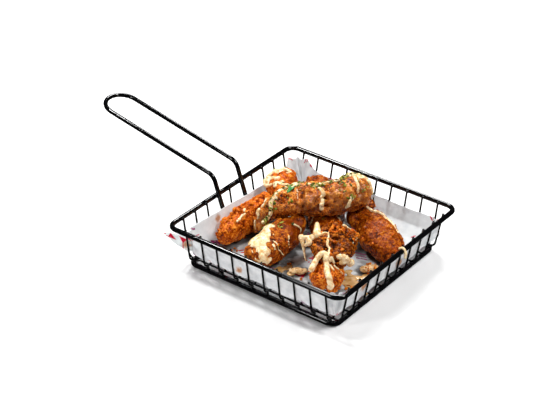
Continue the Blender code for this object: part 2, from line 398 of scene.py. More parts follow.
class DippedNylon(Finish):
    """Steel wire dipped in black nylon: a glossy skin with the slight waves of a melted coating."""

    def __init__(self) -> None:
        """Makes the material."""
        super().__init__(
            "dipped_nylon_coating", Base_Color=linear("020203"), IOR=1.5, Specular_IOR_Level=0.42,
        )
        self.feed("Roughness", self.uneven(9.0, 2.0, (0.3, 0.7), (0.05, 0.09)))
        self.relief(3.2, 3.0, 0.05)


class CoatedWeld(Finish):
    """The same coating where it gathers over a weld: a little duller and rougher."""

    def __init__(self) -> None:
        """Makes the material."""
        super().__init__("coating_over_welds", Base_Color=linear("050506"), Roughness=0.3, IOR=1.5)
        self.relief(1.4, 2.0, 0.15)


@dataclass(frozen=True)
class Soak:
    """Something soaked into the paper or painted shade on it: where it is stored, its ragged edge, its
    strength and its colour.
    """

    attribute: str
    grain_mm: float
    raggedness: float
    edge: Span
    strength: float
    colour: str


SOAKS = (
    # Grease near the food, in a grey that is partly painted shade.
    Soak("grease", 13.0, 0.35, (0.45, 0.75), 0.85, "6E6B6A"),
    # Painted shade in dark brown on the paper under the heap.
    Soak("pool", 7.0, 0.2, (0.2, 0.6), 0.92, "3A2414"),
    Soak("stain", 5.0, 0.3, (0.35, 0.8), 0.8, "C98E4E"),
)


@dataclass(frozen=True)
class PaperFinish:
    """Bleached greaseproof paper, soaked with grease and darkened with painted shade near and under the
    food, whose print shows through.
    """

    name: str
    white: str
    shade: str
    print_strength: float
    print_colour: str
    print_colour_2: str = "B0447E"
    motif_pitch: float = 31 * MM
    motif_size: float = 14 * MM
    sparseness: float = 0.25

    def print_mask(self, finish: Finish) -> tuple[Socket, Socket]:
        """Draws the print: here and there a pennant over a row of dots, or short stripes, turned any way.

        Args:
            finish: the material that it is drawn in.

        Returns:
            1 where there is ink, and a number that says which ink.
        """
        cells = finish.add(VECTOR, (finish.coordinates["UV"], (self.motif_pitch,) * 3), operation="DIVIDE")
        cell = finish.add(VECTOR, (cells,), operation="FLOOR")
        chance = finish.add("ShaderNodeTexWhiteNoise", (cell,), "Color", noise_dimensions="3D")
        luck = finish.add(AXES, (chance,)).node.outputs
        within = finish.add(VECTOR, (cells,), operation="FRACTION")
        middle = finish.add(VECTOR, (within, (0.5, 0.5, 0.0)), operation="SUBTRACT")
        angle = finish.add(MATH, (luck["Y"], 6.28), operation="MULTIPLY")
        swivel = {"Vector": middle, "Angle": angle}
        turned = finish.add("ShaderNodeVectorRotate", swivel, rotation_type="Z_AXIS")
        sized = finish.add(VECTOR, (turned, self.motif_pitch / self.motif_size), operation="SCALE")
        spot = finish.add(AXES, (sized,)).node.outputs
        drawn = {"x": spot["X"], "y": spot["Y"], "luck": luck["X"]}
        finish.work_out(drawn, (
            ("wide", MATH, "ABSOLUTE", "x"),
            ("tall", MATH, "ABSOLUTE", "y"),
            ("from point", MATH, "SUBTRACT", 0.5, "x"),
            ("taper", MATH, "MULTIPLY", "from point", 0.34),
            ("between sides", MATH, "LESS_THAN", "tall", "taper"),
            ("between ends", MATH, "LESS_THAN", "wide", 0.5),
            ("pennant", MATH, "MULTIPLY", "between sides", "between ends"),
            ("along row", MATH, "FLOORED_MODULO", "x", 0.24),
            ("along", MATH, "SUBTRACT", "along row", 0.12),
            ("across", MATH, "ADD", "y", 0.58),
            ("along squared", MATH, "MULTIPLY", "along", "along"),
            ("apart squared", MATH, "MULTIPLY_ADD", "across", "across", "along squared"),
            ("on dot", MATH, "LESS_THAN", "apart squared", 0.0055),
            ("in row", MATH, "LESS_THAN", "wide", 0.7),
            ("dots", MATH, "MULTIPLY", "on dot", "in row"),
            ("flag", MATH, "MAXIMUM", "pennant", "dots"),
            ("down stripes", MATH, "FLOORED_MODULO", "y", 0.3),
            ("on stripe", MATH, "LESS_THAN", "down stripes", 0.13),
            ("slanted", MATH, "MULTIPLY_ADD", "y", 0.5, "x"),
            ("slant", MATH, "ABSOLUTE", "slanted"),
            ("in width", MATH, "LESS_THAN", "slant", 0.4),
            ("in height", MATH, "LESS_THAN", "tall", 0.43),
            ("in block", MATH, "MULTIPLY", "in width", "in height"),
            ("stripes", MATH, "MULTIPLY", "on stripe", "in block"),
            ("shown", MATH, "GREATER_THAN", "luck", self.sparseness),
        ))
        kind = finish.add(MATH, (luck["Z"], 0.55), operation="GREATER_THAN")
        motif = finish.add(MIX, (kind, drawn["flag"], drawn["stripes"]), data_type="FLOAT")
        return finish.add(MATH, (motif, drawn["shown"]), operation="MULTIPLY"), luck["Y"]

    def make(self) -> bpy.types.Material:
        """Makes the material.

        Returns:
            The material.
        """
        finish = Finish(self.name, IOR=1.5, Specular_IOR_Level=0.15)
        # Pressed pulp is cloudy in patches of about this size. Its fibres are too fine to show.
        clouds = finish.uneven(6.0, 4.0, (0.35, 0.7))
        paper = finish.add(MIX, (clouds, linear(self.white), linear(self.shade)), data_type="RGBA")
        # Grease with painted shade near the food, painted shade under the heap, and real stains.
        for soak in SOAKS:
            ragged = finish.uneven(soak.grain_mm, 3.0, (0.3, 0.7), (-soak.raggedness, soak.raggedness))
            stored = finish.add(STORED, (), "Fac", attribute_name=soak.attribute)
            amount = finish.add(MATH, (stored, ragged), operation="ADD")
            cover = finish.add(RANGE, (amount, *soak.edge, 0.0, soak.strength))
            paper = finish.add(MIX, (cover, paper, linear(soak.colour)), data_type="RGBA")
            if soak.attribute == "grease":
                # Grease fills the paper's surface, which turns it from matt to satin.
                finish.feed("Roughness", finish.add(RANGE, (amount, *soak.edge, 0.52, 0.3)))
        mask, tone = self.print_mask(finish)
        second = finish.add(MATH, (tone, 0.6), operation="GREATER_THAN")
        inks = (linear(self.print_colour), linear(self.print_colour_2))
        ink = finish.add(MIX, (second, *inks), data_type="RGBA")
        worn = finish.uneven(3.0, 2.0, (0.35, 0.5), (0.55 * self.print_strength, self.print_strength))
        cover = finish.add(MATH, (mask, worn), operation="MULTIPLY")
        paper = finish.add(MIX, (cover, paper, ink), data_type="RGBA")
        finish.feed("Base Color", paper)
        finish.relief(2.0, 3.0, 0.08)
        through = finish.add("ShaderNodeBsdfTranslucent", (paper,))
        mixed = finish.add("ShaderNodeMixShader", (0.48, finish.shader.outputs[0], through))
        finish.tree.links.new(mixed, finish.tree.nodes["Material Output"].inputs["Surface"])
        return finish.material


@dataclass(frozen=True)
class CrustFinish:
    """Fried breading: orange brown, with painted shade in its cracks, a painted highlight on its crags and
    an oily shine in patches.
    """

    name: str
    crack_shade: str
    shade: str
    body: str
    ridge: str
    glaze: str
    glazed: float = 0.25
    oily: float = 0.2
    dull: float = 0.5
    shine: float = 0.1

    def make(self) -> bpy.types.Material:
        """Makes the material.

        Returns:
            The material.
        """
        finish = Finish(self.name, IOR=1.47, Specular_IOR_Level=self.shine)
        level = finish.add(STORED, (), "Fac", attribute_name="ridge")
        for size_mm, detail, swing in ((7.0, 4.0, 0.24), (1.4, 2.0, 0.28)):
            flecks = finish.uneven(size_mm, detail, (0.3, 0.7), (-swing, swing))
            level = finish.add(MATH, (level, flecks), operation="ADD")
        # From the lowest spots to the proudest: painted shade in the cracks, the crust's own orange brown,
        # then a painted highlight on the crags.
        colour = finish.add("ShaderNodeValToRGB", (level,), stops=(
            (0.1, self.crack_shade), (0.32, self.shade), (0.56, self.body), (0.9, self.ridge),
        ))
        thin = finish.add(STORED, (), "Fac", attribute_name="bare")
        ragged = finish.uneven(4.5, 3.0, (0.38, 0.56), (0.1, 0.9))
        bare = finish.add(MATH, (thin, ragged), operation="MULTIPLY")
        glazed = finish.uneven(14.0, 2.0, (0.42, 0.6), (0.0, self.glazed))
        cover = finish.add(MATH, (glazed, bare), operation="MAXIMUM")
        finish.feed("Base Color", finish.add(MIX, (cover, colour, linear(self.glaze)), data_type="RGBA"))
        rough = finish.uneven(3.0, 2.0, (0.38, 0.62), (self.oily, self.dull))
        finish.feed("Roughness", finish.add(MATH, (thin, -0.12, rough), operation="MULTIPLY_ADD"))
        finish.relief(1.3, 2.0, 0.42)
        return finish.material


class SpicedMayonnaise(Finish):
    """Thick mayonnaise sauce: cream, slightly see-through where thin, with a wet shine."""

    def __init__(self) -> None:
        """Makes the material."""
        super().__init__(
            "spiced_mayonnaise", Roughness=0.24, IOR=1.46, Subsurface_Weight=0.25, Subsurface_Scale=3 * MM,
            Subsurface_Radius=(1.0, 0.7, 0.4),
        )
        tone = self.uneven(3.2, 3.0, (0.36, 0.62))
        cream = self.add(MIX, (tone, linear("DDAE70"), linear("FFE8BC")), data_type="RGBA")
        # Ground spice is finer than this, and is drawn as coarse as it needs to show.
        spice = self.uneven(1.1, 1.0, (0.66, 0.72), (0.0, 0.5))
        self.feed("Base Color", self.add(MIX, (spice, cream, linear("B4783A")), data_type="RGBA"))
        self.relief(2.6, 3.0, 0.7)


class OilySauce(Finish):
    """The same sauce thinned by frying oil: tan, darker and wetter."""

    def __init__(self) -> None:
        """Makes the material."""
        super().__init__("oily_sauce", Roughness=0.18, IOR=1.46)
        tone = self.uneven(6.0, 3.0, (0.35, 0.65))
        self.feed("Base Color", self.add(MIX, (tone, linear("B98A4C"), linear("DDB983")), data_type="RGBA"))
        self.relief(3.0, 2.0, 0.3)


class ChoppedParsley(Finish):
    """Chopped parsley: each flake its own green, from dark leaf to the pale of a cut stalk."""

    def __init__(self) -> None:
        """Makes the material."""
        super().__init__("chopped_parsley", Roughness=0.5, IOR=1.45, Specular_IOR_Level=0.3)
        tint = self.add(STORED, (), "Fac", attribute_name="tint")
        greens = ((0.0, "2C3606"), (0.3, "4E5A08"), (0.65, "76821A"), (1.0, "B4B04E"))
        self.feed("Base Color", self.add("ShaderNodeValToRGB", (tint,), stops=greens))


class ParsleyLeaf(Finish):
    """A whole parsley leaf, a brighter green than the chopped ones."""

    def __init__(self) -> None:
        """Makes the material."""
        super().__init__("parsley_leaf", Roughness=0.4, IOR=1.45)
        tone = self.uneven(2.5, 2.0, (0.0, 1.0))
        self.feed("Base Color", self.add(MIX, (tone, linear("1F7A33"), linear("58A862")), data_type="RGBA"))


class WhiteBoard(Finish):
    """A matt white board under everything."""

    def __init__(self) -> None:
        """Makes the material."""
        super().__init__("white_board", Base_Color=linear("FBFBFB"), Roughness=0.9, Specular_IOR_Level=0.1)


# ---------------------------------------------------------------------------------------------
# The wire basket
# ---------------------------------------------------------------------------------------------


def filleted(corners: Sequence[Vector], radius: float, steps: int, closed: bool = False) -> list[Vector]:
    """Rounds the corners of a path to arcs of one radius.

    Args:
        corners: the path's corners.
        radius: the arcs' radius.
        steps: how many pieces each arc has.
        closed: whether the path ends where it starts.

    Returns:
        The rounded path's points.
    """
    count = len(corners)
    path = []
    for i, corner in enumerate(corners):
        if not closed and i in (0, count - 1):
            path.append(corner)
            continue
        back = (corners[i - 1] - corner).normalized()
        ahead = (corners[(i + 1) % count] - corner).normalized()
        half_angle = back.angle(ahead) / 2
        centre = corner + (back + ahead).normalized() * (radius / math.sin(half_angle))
        start = corner + back * (radius / math.tan(half_angle)) - centre
        axis = start.cross(ahead - back).normalized()
        turn = math.pi - 2 * half_angle
        path += [centre + Quaternion(axis, turn * k / steps) @ start for k in range(steps + 1)]
    return path


def curve_object(name: str, paths: Sequence[Sequence[Vector]], closed: bool = False) -> bpy.types.Object:
    """Makes a curve object with one straight-sided spline for each path.

    Args:
        name: the object's name.
        paths: the splines' points.
        closed: whether they end where they start.

    Returns:
        The object.
    """
    curve = bpy.data.curves.new(name, "CURVE")
    curve.dimensions = "3D"
    for path in paths:
        spline = curve.splines.new("POLY")
        spline.points.add(len(path) - 1)
        spline.points.foreach_set("co", [c for p in path for c in (*p, 1.0)])
        spline.use_cyclic_u = closed
    return link(name, curve)


class SweptWire(Recipe):
    """Round wire along every spline of a curve, with closed ends."""

    def __init__(self) -> None:
        """Builds the tree."""
        super().__init__("swept_wire", {
            "Diameter": ("Float", 5 * MM), "Sides": ("Int", 16), "Finish": ("Material", None),
        })
        radius = self.add(MATH, (self.given["Diameter"], 0.5), operation="MULTIPLY")
        outline = {"Resolution": self.given["Sides"], "Radius": radius}
        circle = self.add("GeometryNodeCurvePrimitiveCircle", outline)
        swept = {"Curve": self.given["Geometry"], "Profile Curve": circle, "Fill Caps": True}
        self.close(self.add("GeometryNodeCurveToMesh", swept))


class WeldNubs(Recipe):
    """A small rounded nub of weld under the coating at every point, sized by its attribute."""

    def __init__(self) -> None:
        """Builds the tree."""
        super().__init__("weld_nubs", {"Unevenness": ("Float", 0.3), "Finish": ("Material", None)})
        nub = self.add("GeometryNodeMeshIcoSphere", {"Radius": 1.0, "Subdivisions": 2})
        least = self.add(MATH, (1.0, self.given["Unevenness"]), operation="SUBTRACT")
        limits = {"Min": least, "Max": 1.0, "Seed": 5}
        swell = self.add("FunctionNodeRandomValue", limits, data_type="FLOAT")
        stored = self.add(NAMED, ("size",), data_type="FLOAT_VECTOR")
        size = self.add(VECTOR, (stored, swell), operation="SCALE")
        placed = {"Points": self.given["Geometry"], "Instance": nub, "Scale": size}
        self.close(self.add("GeometryNodeInstanceOnPoints", placed))


@dataclass
class WireBasket:
    """The rim, the foot ring, the thin bars and the handle. Sizes are to the middle of each wire."""

    wire: float = RIM_HIGH.z - RIM_LOW.z
    rim_height: float = (RIM_HIGH.z + RIM_LOW.z) / 2
    rim_corner: float = 10 * MM
    foot_corner: float = 9 * MM
    bar: float = 2 * MM
    bars_each_way: int = 10
    bar_pitch: float = 18 * MM
    bar_bend: float = 6 * MM
    bar_tip: float = 1.6 * MM
    wall_taper: float = 0.17
    gap: float = 0.3 * MM
    handle_bars: tuple[int, int] = (3, 5)
    handle_lean: float = 0.36
    handle_rise: float = 0.205
    elbow_above_rim: float = 22 * MM
    elbow_radius: float = 12 * MM
    handle_foot: float = 11.5 * MM
    cut_leg: float = 22 * MM
    sides: int = 18
    bar_sides: int = 10
    arc_steps: int = 12
    floor_nub: Spot = (1.25, 1.25, 0.9)
    rim_nub: Spot = (0.9, 1.7, 2.0)
    foot_nub: Spot = (2.0, 1.7, 0.9)
    tall_foot_nub: Spot = (1.5, 2.0, 1.9)
    floor_layers: Span = field(init=False)
    leg_top: float = field(init=False)
    handle_wire: float = field(init=False)

    def __post_init__(self) -> None:
        """Works out the two floor layers' heights, where bars meet the rim, and the handle's wire."""
        lower = self.wire + self.gap + self.bar / 2
        self.floor_layers = (lower, lower + self.bar + self.gap)
        rim_half = (RIM_HIGH.x - RIM_LOW.x - self.wire) / 2
        self.leg_top = rim_half - (self.wire + self.bar) / 2 - self.gap
        low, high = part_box("handle")
        self.handle_wire = high.y - low.y - self.bar_pitch * (self.handle_bars[1] - self.handle_bars[0])

    def leg_inset(self, height: float) -> float:
        """How far from the middle of the basket a wall bar stands at a height."""
        return self.leg_top - self.wall_taper * (self.rim_height - height)

    def bar_offset(self, index: int) -> float:
        """Where along a wall a bar stands."""
        return (index - (self.bars_each_way - 1) / 2) * self.bar_pitch

    def ring_path(self, node: str, corner: float) -> list[Vector]:
        """Draws the middle line of a rounded square wire.

        Args:
            node: the node whose box the wire fills.
            corner: the radius of its corners.

        Returns:
            The line's points.
        """
        low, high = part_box(node)
        half = (high.x - low.x - self.wire) / 2
        height = (high.z + low.z) / 2
        signs = ((1, -1), (1, 1), (-1, 1), (-1, -1))
        corners = [Vector((BASKET_X + half * x, half * y, height)) for x, y in signs]
        return filleted(corners, corner, self.arc_steps, closed=True)

    def bar_path(self, index: int, along_y: bool) -> list[Vector]:
        """Draws the middle line of one U-shaped bar, which is cut short behind a leg of the handle.

        Args:
            index: which bar it is, counted from 0.
            along_y: whether its part in the floor runs along Y and not along X.

        Returns:
            The line's points.
        """
        level = self.floor_layers[1 if along_y else 0]
        tip = self.rim_height + self.bar_tip
        behind_leg = not along_y and index in self.handle_bars
        first_tip = self.rim_height - self.cut_leg if behind_leg else tip
        outline = (
            (-self.leg_inset(first_tip), first_tip), (-self.leg_inset(level), level),
            (self.leg_inset(level), level), (self.leg_inset(tip), tip),
        )
        offset = self.bar_offset(index)
        if along_y:
            corners = [Vector((BASKET_X + offset, across, z)) for across, z in outline]
        else:
            corners = [Vector((BASKET_X + across, offset, z)) for across, z in outline]
        return filleted(corners, self.bar_bend, self.arc_steps // 2)

    def handle_path(self) -> list[Vector]:
        """Draws the middle line of the handle: up one leg, out along one side, round the end and back.

        Returns:
            The line's points.
        """
        at_rim = self.leg_top + self.bar / 2 - self.handle_wire / 2 - self.gap
        low_y, high_y = (self.bar_offset(i) for i in self.handle_bars)
        half_gap = (high_y - low_y) / 2
        elbow_z = self.rim_height + self.elbow_above_rim
        elbow_x = BASKET_X - at_rim - self.handle_lean * self.elbow_above_rim
        foot_x = BASKET_X - at_rim + self.handle_lean * (self.rim_height - self.handle_foot)
        level = math.cos(math.atan(self.handle_rise))
        loop_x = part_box("handle")[0].x + self.handle_wire / 2 + half_gap * level

        def on_slope(x: float) -> float:
            """The height of the handle's straight part."""
            return elbow_z + self.handle_rise * (elbow_x - x)

        side = ((foot_x, self.handle_foot), (elbow_x, elbow_z), (loop_x, on_slope(loop_x)))
        near, far = (
            filleted([Vector((x, y, z)) for x, z in side], self.elbow_radius, self.arc_steps)
            for y in (low_y, high_y)
        )
        loop = []
        loop_steps = 2 * self.arc_steps
        for k in range(1, loop_steps):
            angle = math.pi * k / loop_steps
            x = loop_x - half_gap * math.sin(angle) * level
            loop.append(Vector((x, (low_y + high_y) / 2 - half_gap * math.cos(angle), on_slope(x))))
        return near + loop + far[::-1]

    def welds(self) -> list[tuple[Vector, Vector]]:
        """Lists where wires are welded together.

        Returns:
            For each nub its middle and how large it is along X, Y and Z.
        """
        offsets = [self.bar_offset(i) for i in range(self.bars_each_way)]
        lower, upper = self.floor_layers
        low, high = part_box("foot_ring")
        foot = (high.x - low.x - self.wire) / 2
        rim = self.leg_top + self.bar / 2 + self.gap / 2
        crossing = (lower + upper) / 2
        over_foot = (self.wire + upper - self.bar / 2) / 2
        nubs = []
        for a in offsets:
            nubs += [((a, b, crossing), self.floor_nub) for b in offsets]
            for sign in (-1, 1):
                turned = (self.rim_nub[1], self.rim_nub[0], self.rim_nub[2])
                nubs += [
                    ((sign * rim, a, self.rim_height), self.rim_nub),
                    ((a, sign * rim, self.rim_height), turned),
                    ((sign * foot, a, self.wire), self.foot_nub),
                    ((a, sign * foot, over_foot), self.tall_foot_nub),
                ]
        return [(Vector((BASKET_X + x, y, z)), Vector(size) * MM) for (x, y, z), size in nubs]

    def build(self) -> None:
        """Makes the basket's pieces."""
        coating = DippedNylon().material
        swept = SweptWire()
        paths, nodes = [], []
        for i in range(self.bars_each_way):
            for along_y, axis in ((False, "x"), (True, "y")):
                paths.append(self.bar_path(i, along_y))
                nodes.append(f"hoop_{axis}_{i + 1:02d}")
        rim = [self.ring_path("rim", self.rim_corner)]
        foot = [self.ring_path("foot_ring", self.foot_corner)]
        wires = (
            ("rim_wire", rim, True, self.wire, self.sides, ["rim"]),
            ("foot_wire", foot, True, self.wire, self.sides, ["foot_ring"]),
            ("handle_wire", [self.handle_path()], False, self.handle_wire, self.sides, ["handle"]),
            ("bars", paths, False, self.bar, self.bar_sides, nodes),
        )
        for name, lines, closed, diameter, sides, replaced in wires:
            curve = curve_object(name, lines, closed)
            piece = swept.run(curve, name, diameter=diameter, sides=sides, finish=coating)
            dress(piece, replaced)
        nubs = self.welds()
        spots = mesh_object("welds", [spot for spot, _ in nubs])
        store(spots, "size", "FLOAT_VECTOR", np.array([size for _, size in nubs]))
        dress(WeldNubs().run(spots, "welds", finish=CoatedWeld().material))


# ---------------------------------------------------------------------------------------------
# The paper
# ---------------------------------------------------------------------------------------------


class CreasedPaper(Recipe):
    """Paper that was crumpled and pressed flat again: facets of three sizes, where it is slack."""

    def __init__(self) -> None:
        """Builds the tree."""
        super().__init__("creased_paper", {
            "Facet Size": ("Float", 27 * MM), "Facet Depth": ("Float", 2.4 * MM),
            "Finish": ("Material", None),
        })
        known = {"most": self.given["Facet Depth"], "slack": self.add(NAMED, ("slack",), data_type="FLOAT")}
        facets = (("coarse", 1.0, 1.0), ("middling", 2.1, 0.42), ("fine", 4.41, 0.2))
        for name, times_finer, share in facets:
            scale = self.add(MATH, (times_finer, self.given["Facet Size"]), operation="DIVIDE")
            cells = self.add(CELLS, {"Scale": scale, "Randomness": 1.0}, feature="F1")
            centred = self.add(MATH, (cells, 0.45), operation="SUBTRACT")
            known[name] = self.add(MATH, (centred, share), operation="MULTIPLY")
        self.work_out(known, (
            ("without middling", MATH, "SUBTRACT", "coarse", "middling"),
            ("height", MATH, "SUBTRACT", "without middling", "fine"),
            ("strength", MATH, "MULTIPLY", "most", "slack"),
            ("depth", MATH, "MULTIPLY", "height", "strength"),
        ))
        self.close(self.shift_along_normal(self.given["Geometry"], known["depth"]))


@dataclass
class PaperLiner:
    """One sheet of paper pressed into the basket. Heights are from the ground, in millimetres."""

    floor_half: float = 76.0
    floor: float = 10.3
    cell: float = 1.3
    bar_wall: Span = (87.4, 0.17)
    handle_wall: Span = (74.0, 0.36)
    floor_bend: float = 0.25
    top_corner: float = 15.0
    pleat_depth: float = 5.0
    near_edge: float = 41.0
    front_corner_drop: float = 5.0
    back_edge: float = 30.5
    left_edge: float = 36.0
    left_edge_fall: float = 3.5
    back_corner_peak: float = 11.0
    peak_sharpness: int = 14
    thickness: float = 0.16 * MM
    wall_cells: int = 28
    wall_arc: float = 31.0
    tip: tuple[tuple[float, float, float, float], ...] = (
        (-76, -82, 18, 38), (-84, -91.5, 20, 38.5), (-91, -96.5, 26, 38.5), (-98, -99.5, 31.5, 38),
        (-104.5, -101.2, 36, 37.5),
    )
    tip_rows: int = 16
    tip_slack: float = 0.4
    # How far grease and painted shade reach from the food, and how they fade up the walls.
    grease_reach: float = 13.0
    grease_soak: float = 1.1
    wall_grease_and_shade_fade: float = 2.5
    least_grease: float = 0.2
    pressed_slack: float = 0.25
    pressed_gap: float = 3.0
    slack_per_gap: float = 0.04
    tip_print: Span = (12.5, 29.5)
    stains: tuple[tuple[float, float, float, float], ...] = (
        (-85, -91, 27, 9), (-86, -42, 32, 7), (91, 12, 24, 8), (-20, -91, 24, 8), (92, -48, 30, 9),
    )
    # Spots of painted shade on the paper's floor under the heap, each a place and a reach.
    painted_shade_spots: tuple[Spot, ...] = (
        (-44, 50, 17), (-32, 32, 19), (-21, 13, 16), (-11, -3, 13), (8, 50, 15), (0, 63, 12), (-7, 80, 12),
    )

    def edge_height(self, around_x: float, around_y: float) -> float:
        """Works out how high the paper's edge stands.

        Args:
            around_x: from -1 to 1 across the basket.
            around_y: from -1 to 1 along it.

        Returns:
            The height above the ground.
        """
        if around_x > 0 and around_x >= abs(around_y):
            return self.near_edge - self.front_corner_drop * max(0.0, around_y) ** 2
        if around_y < 0 and -around_y > abs(around_x):
            return self.near_edge
        if around_y >= abs(around_x):
            return self.back_edge + self.back_corner_peak * max(0.0, -around_x) ** self.peak_sharpness
        peak = self.back_corner_peak * max(0.0, around_y) ** self.peak_sharpness
        return self.left_edge - self.left_edge_fall * around_y + peak

    def point(self, u: float, v: float) -> Vector:
        """Works out where a spot of the pressed sheet lies.

        Args:
            u: the spot's place across the flat sheet, from -1 to 1 on the floor and to 2 up a wall.
            v: its place along it.

        Returns:
            The place in the basket, in millimetres.
        """
        out_u = max(0.0, abs(u) - 1)
        out_v = max(0.0, abs(v) - 1)
        in_u = max(-1.0, min(1.0, u))
        in_v = max(-1.0, min(1.0, v))
        if out_u == 0 and out_v == 0:
            return Vector((in_u * self.floor_half, in_v * self.floor_half, self.floor))
        side_x = math.copysign(1.0, u)
        side_y = math.copysign(1.0, v)
        # Just short of a corner, so that each wall asks for its own edge there.
        inner = 0.999
        rise = max(out_u, out_v)
        turn = math.atan2(out_v, out_u)
        share = turn / (math.pi / 2)
        if out_u > 0 and out_v > 0:
            edge_a = self.edge_height(side_x, side_y * inner)
            edge_b = self.edge_height(side_x * inner, side_y)
            edge = edge_a + (edge_b - edge_a) * share
        elif out_u > 0:
            edge = self.edge_height(side_x, in_v * inner)
        else:
            edge = self.edge_height(in_u * inner, side_y)
        height = self.floor + (edge - self.floor) * rise
        radius = self.top_corner * rise
        bent = math.sin(min(1.0, rise / self.floor_bend) * math.pi / 2)
        walls = (self.handle_wall if u < 0 else self.bar_wall, self.bar_wall)
        across, along = (
            self.floor_half + (foot + slope * height - self.floor_half) * bent for foot, slope in walls
        )
        if out_u > 0 and out_v > 0:
            fold = (0.5 - 0.5 * math.cos(4 * math.pi * share)) * math.sin(math.pi * share)
            reach = radius - self.pleat_depth * rise * fold
            x = across - radius + reach * math.cos(turn)
            y = along - radius + reach * math.sin(turn)
        elif out_u > 0:
            x = across
            y = abs(in_v) * (along - radius)
        else:
            x = abs(in_u) * (across - radius)
            y = along
        return Vector((side_x * x, side_y * y, height))

    def tip_sheet(self) -> tuple[list[Vector], list[Span], list[tuple[int, int, int, int]]]:
        """Works out the corner that sticks out between the bars.

        Returns:
            Its points, their places on the flat sheet, and its faces.
        """
        spots, flat, faces = [], [], []
        length = 0.0
        for start, end in zip(self.tip, self.tip[1:]):
            span = math.hypot(end[0] - start[0], end[1] - start[1])
            steps = max(2, round(span / self.cell))
            for k in range(steps + (end is self.tip[-1])):
                t = k / steps
                x, y, low, high = (a + (b - a) * t for a, b in zip(start, end))
                for j in range(self.tip_rows + 1):
                    z = low + (high - low) * j / self.tip_rows
                    spots.append(Vector((x, y, z)))
                    flat.append((self.tip_print[0] - length - span * t, max(z - self.tip_print[1], 0.0)))
            length += span
        row = self.tip_rows + 1
        for i in range(len(spots) // row - 1):
            for j in range(self.tip_rows):
                a = i * row + j
                faces.append((a, a + 1, a + row + 1, a + row))
        return spots, flat, faces

    def build(self, food: Surface) -> bpy.types.Object:
        """Makes the liner.

        Args:
            food: the food, near which the paper is soaked with grease and darkened with painted shade.

        Returns:
            The piece.
        """
        floor_cells = round(2 * self.floor_half / self.cell)
        inner = [-1 + 2 * i / floor_cells for i in range(floor_cells + 1)]
        outer = [1 + (k + 1) / self.wall_cells for k in range(self.wall_cells)]
        line = [-t for t in reversed(outer)] + inner + outer
        count = len(line)
        spots = [self.point(u, v) for v in line for u in line]
        starts = [j * count + i for j in range(count - 1) for i in range(count - 1)]
        faces = [(a, a + 1, a + count + 1, a + count) for a in starts]
        far = [min(abs(t), 1) * self.floor_half + max(0.0, abs(t) - 1) * self.wall_arc for t in line]
        flat = [math.copysign(length, t) for length, t in zip(far, line)]
        tip_spots, tip_uv, tip_faces = self.tip_sheet()
        faces += [tuple(i + len(spots) for i in face) for face in tip_faces]
        uv = [(a, b) for b in flat for a in flat] + tip_uv
        rise = [max(0.0, abs(u) - 1, abs(v) - 1) for v in line for u in line]
        rise = np.array(rise + [self.tip_slack] * len(tip_spots))
        points = [place(*p) for p in spots + tip_spots]
        sheet = mesh_object("paper_liner", points, faces)
        layer = sheet.data.uv_layers.new(name="sheet")
        loops = np.zeros(len(sheet.data.loops), np.int32)
        sheet.data.loops.foreach_get("vertex_index", loops)
        layer.data.foreach_set("uv", (np.array(uv) * MM)[loops].ravel())
        gaps = np.array([(food.nearest(p)[0] - p).length / MM for p in points])
        points = np.array(points)
        # Grease and painted shade, strongest close to the food and fading up the walls.
        grease = np.clip(self.grease_soak - gaps / self.grease_reach, 0, 1)
        grease *= np.clip(1 - self.wall_grease_and_shade_fade * rise, self.least_grease, 1)
        slack = self.pressed_slack + (gaps - self.pressed_gap) * self.slack_per_gap + rise
        store(sheet, "slack", "FLOAT", np.clip(slack, 0, 1))
        store(sheet, "grease", "FLOAT", grease)
        # Painted shade under the heap.
        painted_shade_spots = [(x, y, self.floor, reach) for x, y, reach in self.painted_shade_spots]
        store(sheet, "pool", "FLOAT", nearness(points, painted_shade_spots))
        store(sheet, "stain", "FLOAT", nearness(points, self.stains))
        inside = PaperFinish("greaseproof_inside", "FAFCFC", "EEF1F2", 1.0, "DC1F45")
        # The outside is the same paper in darker whites, which are painted shade; its print is fainter and
        # duller.
        outside = PaperFinish("greaseproof_outside", "EDEEEF", "D8DADC", 0.55, "C83058", "A070A0")
        corner = PaperFinish(
            "greaseproof_corner", "FAFCFC", "EEF1F2", 1.0, "DC1F45", "DC1F45", 9 * MM, 8.6 * MM, -1.0,
        )
        liner = CreasedPaper().run(sheet, "paper_liner", finish=inside.make())
        for finish in (outside, corner):
            liner.data.materials.append(finish.make())
        slots = np.zeros(len(liner.data.polygons), np.int32)
        slots[-len(tip_faces):] = liner.data.materials.find("greaseproof_corner")
        liner.data.polygons.foreach_set("material_index", slots)
        wall = liner.modifiers.new("thickness", "SOLIDIFY")
        wall.thickness = self.thickness
        wall.offset = -1
        wall.material_offset = 1
        wall.material_offset_rim = 0
        return dress(liner, ["liner"])


# ---------------------------------------------------------------------------------------------
# The tenders
# ---------------------------------------------------------------------------------------------


